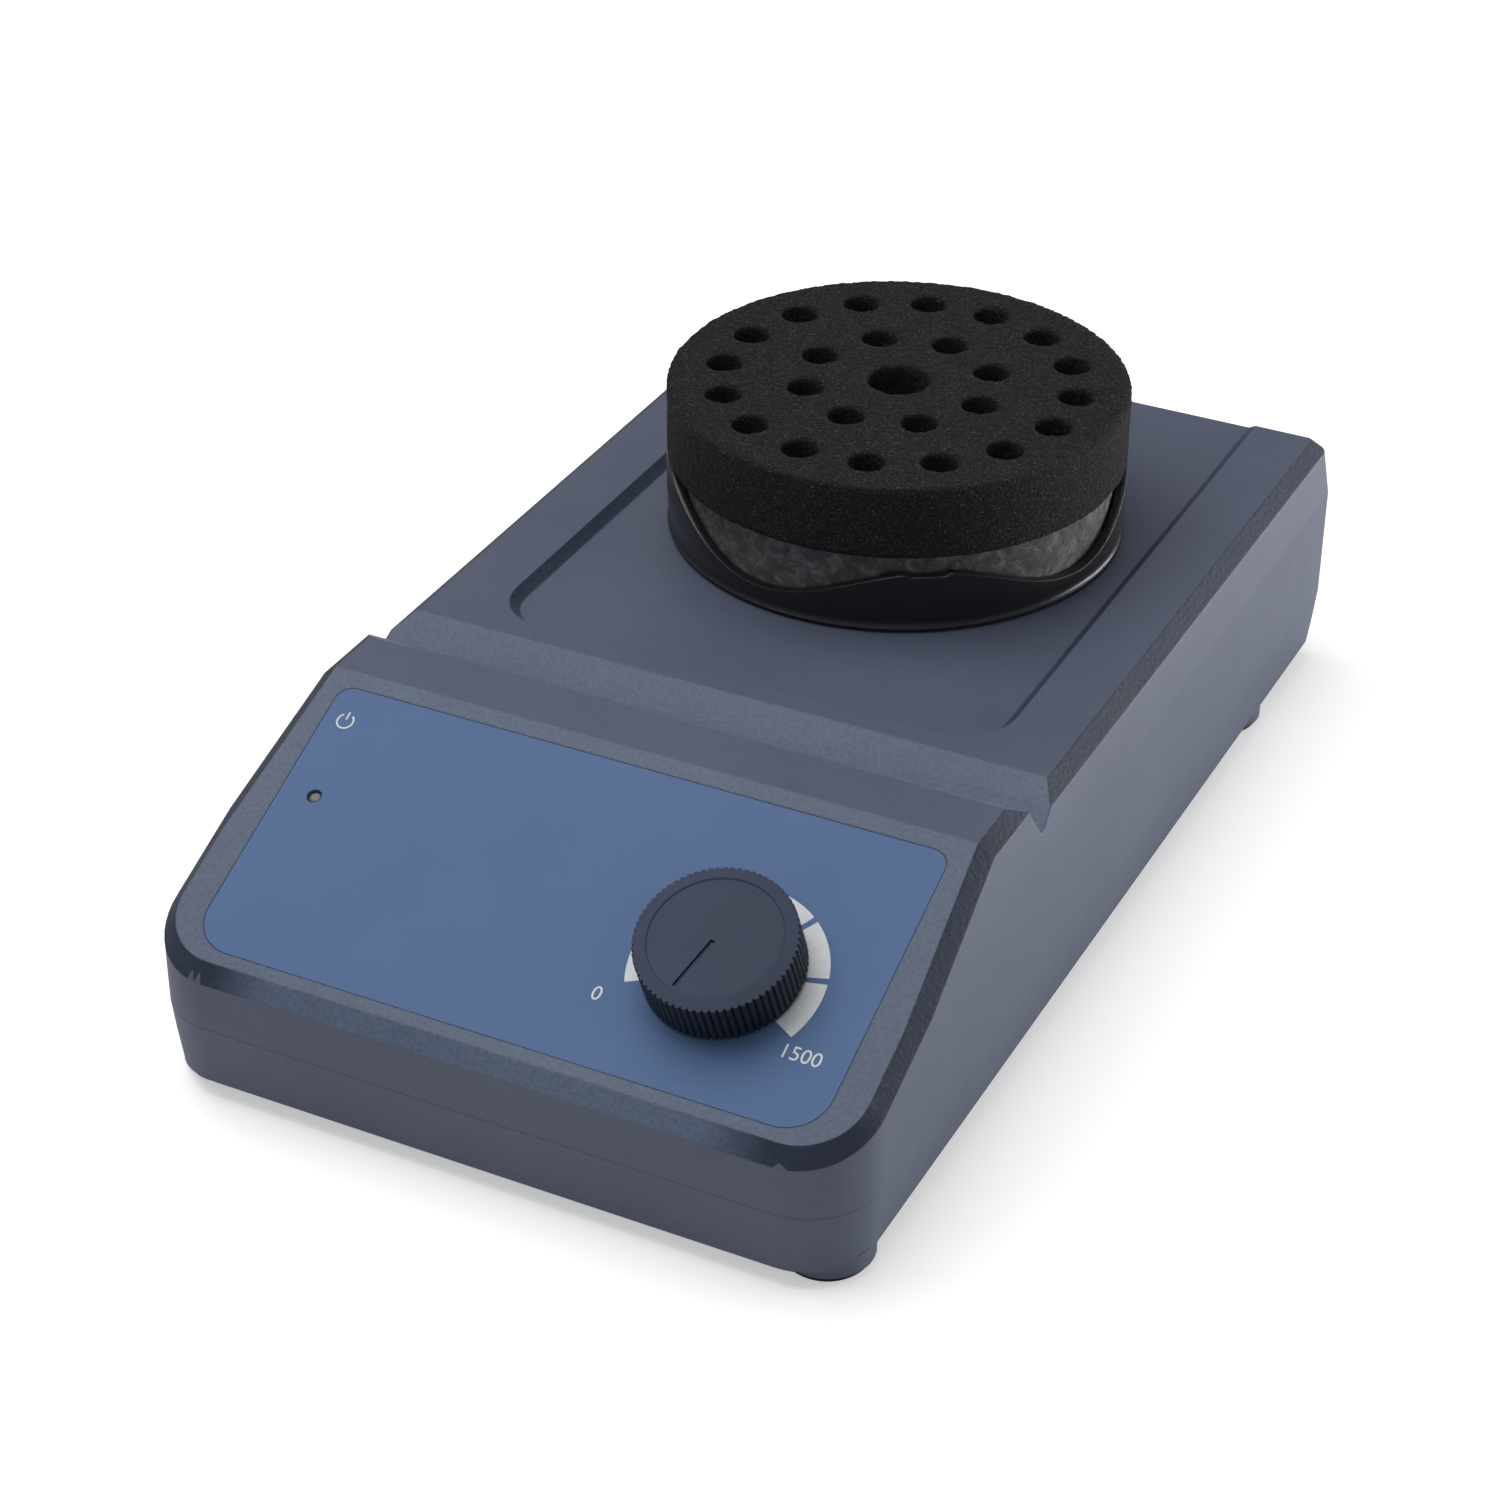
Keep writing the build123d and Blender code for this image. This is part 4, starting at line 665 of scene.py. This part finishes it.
def round_edges(shape: Any, radius_mm: float, segments: int = 2,
                limits_deg: tuple = (ROUNDED_FROM_DEG, 180.0), above_mm: float = -1.0) -> None:
    """Round the edges whose angle lies between two limits, as a mould leaves them.

    Args:
        shape: The bmesh.
        radius_mm: Width of the rounding.
        segments: Faces across it.
        limits_deg: Least and greatest angle between an edge's faces.
        above_mm: Edges that reach below this height are left.
    """
    least, most = (radians(limit) for limit in limits_deg)
    sharp = [edge for edge in shape.edges
             if len(edge.link_faces) == 2 and least < edge.calc_face_angle(0.0) < most
             and min(vert.co.z for vert in edge.verts) > above_mm * MM]
    bmesh.ops.bevel(shape, geom=sharp, offset=radius_mm * MM, offset_type="OFFSET", segments=segments,
                    profile=0.5, affect="EDGES", material=-1, clamp_overlap=True)
    bmesh.ops.remove_doubles(shape, verts=shape.verts, dist=WELD_MM / 2 * MM)


def join(whole: Any, part: Any) -> None:
    """Add one bmesh to another and free it.

    Args:
        whole: The bmesh that grows.
        part: The bmesh that is added.
    """
    spare = bpy.data.meshes.new("spare")
    part.to_mesh(spare)
    part.free()
    whole.from_mesh(spare)
    bpy.data.meshes.remove(spare)


def thicken(shape: Any, thickness_mm: float) -> None:
    """Give a flat bmesh a thickness, half of it on each side, and close it.

    Args:
        shape: The bmesh, which lies in the plane z = 0.
        thickness_mm: The thickness.
    """
    bmesh.ops.translate(shape, verts=shape.verts, vec=(0, 0, -thickness_mm * MM / 2))
    raised = bmesh.ops.extrude_face_region(shape, geom=shape.faces[:])
    tops = [item for item in raised["geom"] if isinstance(item, bmesh.types.BMVert)]
    bmesh.ops.translate(shape, verts=tops, vec=(0, 0, thickness_mm * MM))
    bmesh.ops.recalc_face_normals(shape, faces=shape.faces)


def ink_arc(inner: float, outer: float, start_deg: float, sweep_deg: float) -> Any:
    """Make an arc of ink about the origin.

    Args:
        inner: Inner radius in millimetres.
        outer: Outer radius in millimetres.
        start_deg: Where the arc starts, anticlockwise from +X.
        sweep_deg: How far it goes.

    Returns:
        The bmesh, closed and as thick as the ink.
    """
    shape = bmesh.new()
    start = radians(start_deg)
    ends = [shape.verts.new((r * MM * cos(start), r * MM * sin(start), 0.0)) for r in (inner, outer)]
    edge = shape.edges.new(ends)
    steps = max(LEAST_ARC_STEPS, round(sweep_deg / ARC_STEP_DEG))
    bmesh.ops.spin(shape, geom=ends + [edge], cent=(0, 0, 0), axis=(0, 0, 1),
                   angle=radians(sweep_deg), steps=steps, use_merge=False)
    thicken(shape, INK_MM)
    return shape


def ink_bar(width: float, length: float) -> Any:
    """Make a straight bar of ink about the origin.

    Args:
        width: Size along X in millimetres.
        length: Size along Y in millimetres.

    Returns:
        The bmesh, closed and as thick as the ink.
    """
    shape = bmesh.new()
    sides = Matrix.Diagonal((width * MM, length * MM, INK_MM * MM, 1.0))
    bmesh.ops.create_cube(shape, size=1.0, matrix=sides)
    return shape


def turned(profile: Sequence[tuple], centre: tuple, steps: int) -> Any:
    """Turn a profile about a vertical axis into a closed solid.

    Args:
        profile: (radius, height) points in millimetres, from the axis round to the axis.
        centre: The axis's x and y in millimetres.
        steps: Number of facets round.

    Returns:
        The bmesh.
    """
    shape = bmesh.new()
    axis_x, axis_y = centre
    ring = [shape.verts.new(((axis_x + radius) * MM, axis_y * MM, z * MM)) for radius, z in profile]
    edges = [shape.edges.new(pair) for pair in zip(ring, ring[1:])]
    bmesh.ops.spin(shape, geom=ring + edges, cent=(axis_x * MM, axis_y * MM, 0), axis=(0, 0, 1),
                   angle=2 * pi, steps=steps, use_merge=True)
    bmesh.ops.remove_doubles(shape, verts=shape.verts, dist=NEAR_MM * MM)
    bmesh.ops.recalc_face_normals(shape, faces=shape.faces)
    return shape


@dataclass(frozen=True)
class PanelSlope:
    """Plane of the control panel, which falls from the hump's top edge to the front edge."""

    top_y: float = -63.6
    top_z: float = 60.35
    front_y: float = -130.0
    front_z: float = 31.4

    def axes(self) -> tuple:
        """Find the plane's directions.

        Returns:
            Unit vectors across the panel, up its slope and out of it.
        """
        angle = atan2(self.top_z - self.front_z, self.top_y - self.front_y)
        across = Vector((1.0, 0.0, 0.0))
        up_slope = Vector((0.0, cos(angle), sin(angle)))
        return across, up_slope, across.cross(up_slope)

    def place(self, x: float, s: float, lift: float = 0.0) -> Matrix:
        """Find the transform that carries a flat print onto the panel.

        Args:
            x: How far across the panel, in millimetres from its middle.
            s: How far down the slope, in millimetres from its top edge.
            lift: How far out of the panel, in millimetres.

        Returns:
            The transform, in metres.
        """
        across, up_slope, outward = self.axes()
        origin = Vector((x, self.top_y, self.top_z)) - s * up_slope + lift * outward
        directions = Matrix((across, up_slope, outward)).transposed().to_4x4()
        return Matrix.Translation(origin * MM) @ directions


PANEL_SLOPE = PanelSlope()


class CaseFace(Enum):
    """What a face of the upper half is. Its value is the face's finish."""

    WALL = "satin_abs"
    RIM = "leather_abs"
    # A rim that carries painted shade.
    SHADED_RIM = "leather_painted_shade"


@dataclass
class CaseShell:
    """The two moulded halves of the case, with the leather grain on the rims."""

    body: str = "base"
    slot: str = "case_abs"
    edge_mm: float = 0.35
    rim_mm: float = 0.75
    rim_segments: int = 3
    rim_limits_deg: tuple = (20.0, 62.0)
    rim_z: float = 25.0
    grain_z: float = 29.5
    front_rim_z: float = 34.0
    slant_bounds: tuple = (0.22, 0.985)
    side_lean: float = 0.33
    panel_match: float = 0.999
    tray_half_width: float = 57.0
    tray_z: float = 54.5
    deck_z: float = 56.1
    tray_lean: float = 0.1
    crease_deg: float = 5.0
    level_share: float = 0.3

    def face_kind(self, face: Any) -> CaseFace:
        """Tell what a face of the upper half is, from its slant and its place.

        Args:
            face: The face.

        Returns:
            A rim with painted shade at the sides, along the front and on the tray's right wall, a rim for
            every other slanting face and for the panel's frame, or a wall.
        """
        normal = face.normal
        centre = face.calc_center_median() / MM
        if centre.z < self.grain_z:
            return CaseFace.WALL
        steepest, flattest = self.slant_bounds
        slanted = steepest < normal.z < flattest
        on_panel = normal.dot(PANEL_SLOPE.axes()[2]) > self.panel_match
        outer = abs(normal.x) > self.side_lean or centre.z < self.front_rim_z
        in_tray = abs(centre.x) < self.tray_half_width and self.tray_z < centre.z < self.deck_z
        right_wall = in_tray and normal.x < -self.tray_lean
        # Rims at the sides, along the front and on the tray's right wall get the painted shade.
        if slanted and (right_wall or (outer and not on_panel)):
            return CaseFace.SHADED_RIM
        return CaseFace.RIM if slanted or on_panel else CaseFace.WALL

    def crease(self, shape: Any) -> None:
        """Mark the faint level bends of the walls, so that smoothing keeps them.

        Args:
            shape: The bmesh of a half.
        """
        faintest, sharpest = radians(self.crease_deg), radians(ROUNDED_FROM_DEG)
        for edge in shape.edges:
            span = edge.verts[1].co - edge.verts[0].co
            level = abs(span.z) < self.level_share * span.length
            faint = len(edge.link_faces) == 2 and faintest < edge.calc_face_angle(0.0) < sharpest
            edge.smooth = not (level and faint)

    def build(self) -> list:
        """Make the upper and lower skins.

        Returns:
            Both pieces.
        """
        upper = merged_copy("upper_housing")
        self.crease(upper)
        round_edges(upper, self.rim_mm, self.rim_segments, self.rim_limits_deg, self.rim_z)
        round_edges(upper, self.edge_mm, limits_deg=(self.rim_limits_deg[1], 180.0))
        upper.normal_update()
        kinds = list(CaseFace)
        for face in upper.faces:
            face.material_index = kinds.index(self.face_kind(face))
        shade_by_angle(upper)
        top = make_piece("upper_case_skin", upper, [kind.value for kind in kinds], self.body)
        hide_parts("upper_housing")
        lower = merged_copy("lower_housing")
        self.crease(lower)
        round_edges(lower, self.edge_mm)
        shade_by_angle(lower)
        base = make_piece("lower_case_skin", lower, ["satin_abs"], self.body)
        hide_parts("lower_housing")
        for piece in (top, base):
            weigh_normals(piece)
        return [top, base]


@dataclass
class ControlPanel:
    """Prints on the sloping panel: a ring of dial segments, plain numbers and a power symbol.

    Places are given across the panel and down its slope. A digit's height is digit_share of the font's size.
    """

    body: str = "base"
    slot: str = "panel_film"
    ring_place: tuple = (36.3, 40.4)
    ring_inner: float = 14.5
    ring_outer: float = 19.1
    ring_bounds_deg: tuple = (-29.5, 12.05, 54.6, 97.0, 139.5, 182.0, 206.5)
    ring_gap_mm: float = 1.15
    digit_height: float = 2.9
    digit_share: float = 0.69
    numbers: dict = field(default_factory=lambda: {"0": (15.1, 52.3), "1500": (56.5, 52.3)})
    symbol_place: tuple = (-61.0, 11.5)
    symbol_radius: float = 1.7
    symbol_line: float = 0.36
    symbol_start_deg: float = 125.0
    symbol_sweep_deg: float = 290.0
    symbol_bar_length: float = 1.87
    symbol_bar_rise: float = 1.275

    def print_on(self, name: str, shape: Any, place: tuple) -> Any:
        """Lay a flat print on the panel.

        Args:
            name: The print's name.
            shape: Its bmesh, which lies about the origin.
            place: Its place on the panel.

        Returns:
            The piece.
        """
        shape.transform(PANEL_SLOPE.place(*place, INK_MM / 2))
        return make_piece(name, shape, ["white_ink"], self.body)

    def dial(self) -> Any:
        """Make the ring of segments round the knob.

        Returns:
            The piece.
        """
        middle = (self.ring_inner + self.ring_outer) / 2
        gap_deg = degrees(self.ring_gap_mm / middle)
        whole = bmesh.new()
        for start, end in zip(self.ring_bounds_deg, self.ring_bounds_deg[1:]):
            segment = ink_arc(self.ring_inner, self.ring_outer, start + gap_deg / 2, end - start - gap_deg)
            join(whole, segment)
        return self.print_on("dial_ring", whole, self.ring_place)

    def number(self, text: str, place: tuple) -> Any:
        """Make a plain number, centred on its place.

        Args:
            text: The digits.
            place: Its place on the panel.

        Returns:
            The piece.
        """
        curve = bpy.data.curves.new("number_" + text, "FONT")
        curve.body = text
        curve.align_x = "CENTER"
        curve.align_y = "CENTER"
        curve.size = self.digit_height * MM / self.digit_share
        curve.extrude = INK_MM * MM / 2
        holder = add_object("number_curve", curve)
        flat = evaluated_mesh(holder)
        bpy.data.objects.remove(holder)
        shape = bmesh.new()
        shape.from_mesh(flat)
        bmesh.ops.remove_doubles(shape, verts=shape.verts, dist=WELD_MM * MM)
        return self.print_on("number_" + text, shape, place)

    def power_symbol(self) -> Any:
        """Make the broken circle with a bar at its top.

        Returns:
            The piece.
        """
        half_line = self.symbol_line / 2
        ring = ink_arc(self.symbol_radius - half_line, self.symbol_radius + half_line,
                       self.symbol_start_deg, self.symbol_sweep_deg)
        bar = ink_bar(self.symbol_line, self.symbol_bar_length)
        bmesh.ops.translate(bar, verts=bar.verts, vec=(0, self.symbol_bar_rise * MM, 0))
        join(ring, bar)
        return self.print_on("power_symbol", ring, self.symbol_place)

    def build(self) -> list:
        """Make the prints.

        Returns:
            The pieces.
        """
        made = [self.dial(), self.power_symbol()]
        made += [self.number(text, place) for text, place in self.numbers.items()]
        return made


@dataclass
class TubeCup:
    """Glossy moulded cup, whose rim waves between two peaks and two lower, notched shoulders.

    Its profile is turned with a level rim at peak_z, and the wall is then squeezed down to the wave.
    """

    body: str = "platform"
    slot: str = "cup_gloss"
    centre: tuple = (0.0, 52.3)
    radius: float = 49.4
    foot_radius: float = 48.7
    wall: float = 2.0
    lip_radius: float = 49.3
    lip_bottom: float = 54.8
    lip_height: float = 0.9
    lip_round: float = 0.3
    floor_z: float = 58.2
    under_z: float = 56.2
    peak_z: float = 70.5
    shoulder_z: float = 68.3
    trough_z: float = 59.9
    wave_deg: float = -58.0
    notch_half: float = 4.5
    notch_depth: float = 0.9
    rim_round: float = 0.25
    rim_crown: float = 0.38
    swell_pace: float = 2.2
    swell_curve: float = 0.6
    rows: int = 14
    steps: int = 288
    crisp_deg: float = 40.0

    def rim(self, angle: float) -> float:
        """Find the height of the rim.

        Args:
            angle: Angle round the cup from +X, in radians.

        Returns:
            The height in millimetres.
        """
        turn = angle - radians(self.wave_deg)
        middle = (self.shoulder_z + self.peak_z) / 4 + self.trough_z / 2
        height = (self.shoulder_z + self.peak_z) / 4 - self.trough_z / 2
        rim = middle + height * cos(4 * turn) - (self.peak_z - self.shoulder_z) / 2 * cos(2 * turn)
        in_notch = abs(sin(turn)) * self.radius < self.notch_half
        return min(rim, self.shoulder_z - self.notch_depth) if in_notch else rim

    def outer_wall(self) -> list:
        """Draw the outer wall, which swells out above its foot.

        Returns:
            (radius, height) points from the foot up to the rim.
        """
        foot_z = self.lip_bottom + 2 * self.lip_height
        points = [(self.foot_radius, foot_z)]
        for row in range(1, self.rows + 1):
            share = row / self.rows
            swell = min(1.0, share * self.swell_pace) ** self.swell_curve
            points.append((self.foot_radius + (self.radius - self.foot_radius) * swell,
                           foot_z + (self.peak_z - foot_z) * share))
        return points

    def profile(self) -> list:
        """Draw the cup's whole section.

        Returns:
            (radius, height) points from the axis under the floor round to the axis above it.
        """
        under = [(0.0, self.under_z), (self.foot_radius - 2 * self.wall, self.under_z),
                 (self.foot_radius - self.wall, self.lip_bottom)]
        lip_top = self.lip_bottom + self.lip_height
        lip = [(self.lip_radius - self.lip_round, self.lip_bottom),
               (self.lip_radius, self.lip_bottom + self.lip_round),
               (self.lip_radius, lip_top - self.lip_round), (self.lip_radius - self.lip_round, lip_top)]
        inner_radius = self.radius - self.wall
        round_z = self.peak_z + self.rim_round
        rim = [(self.radius - self.rim_round, round_z),
               (self.radius - self.wall / 2, self.peak_z + self.rim_crown),
               (inner_radius + self.rim_round, round_z)]
        depth = self.peak_z - self.floor_z
        inner = [(inner_radius, self.peak_z - depth * row / self.rows) for row in range(self.rows + 1)]
        return under + lip + self.outer_wall() + rim + inner + [(0.0, self.floor_z)]

    def wave(self, shape: Any) -> None:
        """Squeeze the wall above the floor, so that its top follows the rim.

        Args:
            shape: The turned bmesh.
        """
        base = self.floor_z * MM
        axis = Vector((*self.centre, 0.0)) * MM
        for vert in shape.verts:
            if vert.co.z > base + NEAR_MM * MM:
                spoke = vert.co - axis
                top = self.rim(atan2(spoke.y, spoke.x)) * MM
                vert.co.z = base + (vert.co.z - base) * (top - base) / (self.peak_z * MM - base)

    def build(self) -> list:
        """Make the cup.

        Returns:
            The piece, in a list.
        """
        shape = turned(self.profile(), self.centre, self.steps)
        self.wave(shape)
        shade_by_angle(shape, self.crisp_deg)
        cup = make_piece("tube_cup_skin", shape, ["cup_gloss"], self.body)
        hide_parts("tube_cup")
        return [cup]


@dataclass
class FoamInsert:
    """The foam block, remeshed finely and roughened by its open cells.

    The pores are two layers of noise, a coarse one and a finer, weaker one, that mostly bite inwards.
    """

    body: str = "insert"
    slot: str = "foam"
    voxel_mm: float = 0.85
    pore_mm: float = 1.0
    depth_mm: float = 0.17
    skin_top: float = FOAM_SKIN_TOP
    skin_share: float = 0.35
    fine_share: float = 0.6
    fine_pace: float = 2.3
    inward: float = 0.35

    def build(self) -> list:
        """Make the foam.

        Returns:
            The piece, in a list.
        """
        foam = make_piece("foam_block", merged_copy("foam_insert"), ["foam"], self.body)
        remesh = foam.modifiers.new("Remesh", "REMESH")
        remesh.mode = "VOXEL"
        remesh.voxel_size = self.voxel_mm * MM
        fine = evaluated_mesh(foam)
        foam.modifiers.clear()
        foam.data = fine
        fine.materials.clear()
        fine.materials.append(WARDROBE.get("foam"))
        self.roughen(fine)
        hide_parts("foam_insert")
        return [foam]

    def roughen(self, mesh: Any) -> None:
        """Push each point in by a pore's depth, more on the open cells than on the skin below.

        Args:
            mesh: The remeshed foam.
        """
        pore = per_mm(self.pore_mm)
        normals = [vert.normal.copy() for vert in mesh.vertices]
        for vert, normal in zip(mesh.vertices, normals):
            share = 1.0 if vert.co.z / MM > self.skin_top else self.skin_share
            coarse = noise.noise(vert.co * pore)
            fine = noise.noise(vert.co * pore * self.fine_pace)
            bite = coarse + self.fine_share * fine - self.inward
            vert.co += normal * bite * self.depth_mm * share * MM
        for polygon in mesh.polygons:
            polygon.use_smooth = True
        mesh.update()


@dataclass(frozen=True)
class Rounding:
    """How a CAD piece is remade: its body, its rounded edges' width and its finish, which names its slot."""

    body: str
    edge_mm: float
    finish: str


@dataclass
class SmallParts:
    """CAD pieces whose own shape shows, remade with rounded edges."""

    knob: Rounding = Rounding("knob", 0.12, "knob_plastic")
    foot: Rounding = Rounding("base", 0.3, "foot_rubber")
    socket: Rounding = Rounding("base", 0.25, "black_plastic")
    rocker: Rounding = Rounding("rocker", 0.3, "black_plastic")
    lamp: Rounding = Rounding("base", 0.1, "lamp_lens")
    side_facing: float = 0.5

    def roundings(self) -> dict:
        """List the pieces.

        Returns:
            Name of each CAD node to how it is remade.
        """
        feet = {f"foot_{end}_{side}": self.foot for end in ("front", "rear") for side in ("left", "right")}
        return {"speed_knob": self.knob, **feet, "power_inlet": self.socket, "switch_frame": self.socket,
                "power_rocker": self.rocker, "indicator_led": self.lamp}

    def paint_flute_shade(self, shape: Any) -> None:
        """Give the knob's fluted sides the darker material, painted shade that their flutes cast on each
        other.

        Args:
            shape: The knob's bmesh.
        """
        outward = PANEL_SLOPE.axes()[2]
        for face in shape.faces:
            face.material_index = 1 if abs(face.normal.dot(outward)) < self.side_facing else 0

    def build(self) -> list:
        """Make each rounded copy in place of its node.

        Returns:
            The pieces.
        """
        made = []
        for node, rounding in self.roundings().items():
            shape = merged_copy(node)
            round_edges(shape, rounding.edge_mm)
            shade_by_angle(shape)
            finishes = [rounding.finish]
            if node == "speed_knob":
                # The fluted sides take the painted shade.
                finishes.append("knob_flute_shade")
                self.paint_flute_shade(shape)
            piece = make_piece(node + "_skin", shape, finishes, rounding.body)
            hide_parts(node)
            weigh_normals(piece)
            made.append(piece)
        return made


@dataclass
class SwitchMarks:
    """The circle and the line that mark the rocker's lower and upper ends.

    The rocker pivots at pivot_y and z, rests turned by tilt_deg, and each half of its face slopes away
    from the middle by slope_rise over slope_run.
    """

    body: str = "rocker"
    slot: str = "black_plastic"
    x: float = -50.0
    pivot_y: float = 124.4
    z: float = 31.0
    tilt_deg: float = 8.0
    face_y: float = 3.72
    reach: float = 5.0
    slope_rise: float = 1.0
    slope_run: float = 8.2
    circle_radii: tuple = (0.95, 1.3)
    circle_sweep_deg: float = 359.5
    line_size: tuple = (0.4, 2.6)

    def build(self) -> list:
        """Make both marks, just proud of the rocker's face.

        Returns:
            The pieces.
        """
        circle = ink_arc(*self.circle_radii, 0, self.circle_sweep_deg)
        line = ink_bar(*self.line_size)
        slope = atan2(self.slope_rise, self.slope_run)
        facing_back = Matrix.Rotation(pi / 2, 4, "X") @ Matrix.Rotation(pi, 4, "Y")
        made = []
        for name, shape, side in (("off_mark", circle, -1), ("on_mark", line, 1)):
            for move in (facing_back, Matrix.Rotation(-side * slope, 4, "X"),
                         Matrix.Translation(Vector((0, self.face_y, side * self.reach)) * MM),
                         Matrix.Rotation(radians(self.tilt_deg), 4, "X"),
                         Matrix.Translation(Vector((self.x, self.pivot_y, self.z)) * MM)):
                shape.transform(move)
            made.append(make_piece(name, shape, ["white_ink"], self.body))
        return made


@dataclass(frozen=True)
class SoftLamp:
    """Rectangular soft lamp, with its place, the point it looks at and its two sides in millimetres."""

    name: str
    place: tuple
    aim: tuple
    sides: tuple
    watts: float

    def build(self) -> None:
        """Hang the lamp."""
        data = bpy.data.lights.new(self.name, "AREA")
        data.shape = "RECTANGLE"
        width, height = self.sides
        data.size = width * MM
        data.size_y = height * MM
        data.energy = self.watts
        start, end = Vector(self.place) * MM, Vector(self.aim) * MM
        turn = (end - start).to_track_quat("-Z", "Y").to_matrix().to_4x4()
        add_object(self.name, data).matrix_world = Matrix.Translation(start) @ turn


@dataclass
class Studio:
    """Pale floor, soft lamps and the camera of the photograph.

    The key hangs high on the left, and the side box stands low to the right and behind.
    """

    azimuth_deg: float = 26.26
    elevation_deg: float = 32.62
    roll_deg: float = 0.32
    distance: float = 726.0
    focal_px: float = 3540.2
    target: tuple = (0.0, -18.12, 34.65)
    nearest: float = 10.0
    floor_side: float = 6000.0
    world_colour: str = "ffffff"
    world_light: float = 0.28
    lamps: tuple = (SoftLamp("key", (-330, -60, 1150), (0, 0, 30), (1100, 1100), 9.3),
                    SoftLamp("side_box", (850, 800, 110), (40, 0, 40), (700, 200), 9.5))

    def camera(self) -> None:
        """Place the camera."""
        azimuth, elevation, roll = map(radians, (self.azimuth_deg, self.elevation_deg, self.roll_deg))
        back = Vector((sin(azimuth) * cos(elevation), -cos(azimuth) * cos(elevation), sin(elevation)))
        right = Vector((cos(azimuth), sin(azimuth), 0.0))
        up = back.cross(right)
        rolled_right = cos(roll) * right + sin(roll) * up
        rolled_up = cos(roll) * up - sin(roll) * right
        data = bpy.data.cameras.new("camera")
        data.sensor_width = SENSOR_MM
        data.lens = self.focal_px / PHOTO_SIDE_PX * SENSOR_MM
        data.clip_start = self.nearest * MM
        holder = add_object("camera", data)
        place = (Vector(self.target) + back * self.distance) * MM
        directions = Matrix((rolled_right, rolled_up, back)).transposed().to_4x4()
        holder.matrix_world = Matrix.Translation(place) @ directions
        bpy.context.scene.camera = holder

    def floor(self) -> None:
        """Lay the floor that keeps the object's shadow."""
        shape = bmesh.new()
        bmesh.ops.create_grid(shape, x_segments=1, y_segments=1, size=self.floor_side / 2 * MM)
        mesh = bpy.data.meshes.new("floor")
        shape.to_mesh(mesh)
        shape.free()
        mesh.materials.append(PaperFloor().material())
        plane = add_object("floor", mesh)

    def world(self) -> None:
        """Light the object evenly from all round, with a world that the camera sees as white."""
        world = bpy.data.worlds.new("studio")
        bpy.context.scene.world = world
        world.use_nodes = True
        tree = world.node_tree
        background = tree.nodes["Background"]
        background.inputs["Color"].default_value = linear(self.world_colour)
        seen = add_node(tree, "ShaderNodeLightPath").outputs["Is Camera Ray"]
        strength = add_node(tree, "ShaderNodeMapRange", inputs={
            "Value": seen, "To Min": self.world_light, "To Max": 1.0})
        tree.links.new(strength.outputs["Result"], background.inputs["Strength"])

    def build(self) -> None:
        """Set the stage."""
        bpy.context.scene.view_settings.view_transform = "Standard"
        self.camera()
        self.floor()
        self.world()
        for lamp in self.lamps:
            lamp.build()


def dress_frame() -> None:
    """Give every CAD node the finish of its material slot."""
    slots = {row["node"]: row["material_slot"] for row in frame["record"]["subparts"]}
    for name, node in frame["nodes"].items():
        slot = slots[name]
        material = WARDROBE.get(SLOT_FINISH.get(slot, slot))
        if not node.data.materials:
            node.data.materials.append(material)
        for holder in node.material_slots:
            holder.material = material


def main() -> None:
    """Build the stage and each sub-assembly in order."""
    logging.basicConfig(level=logging.INFO)
    Studio().build()
    dress_frame()
    for maker in (CaseShell(), ControlPanel(), TubeCup(), FoamInsert(), SmallParts(), SwitchMarks()):
        pieces = maker.build()
        log.info("%s made %d pieces", type(maker).__name__, len(pieces))


if __name__ == "__main__":
    main()
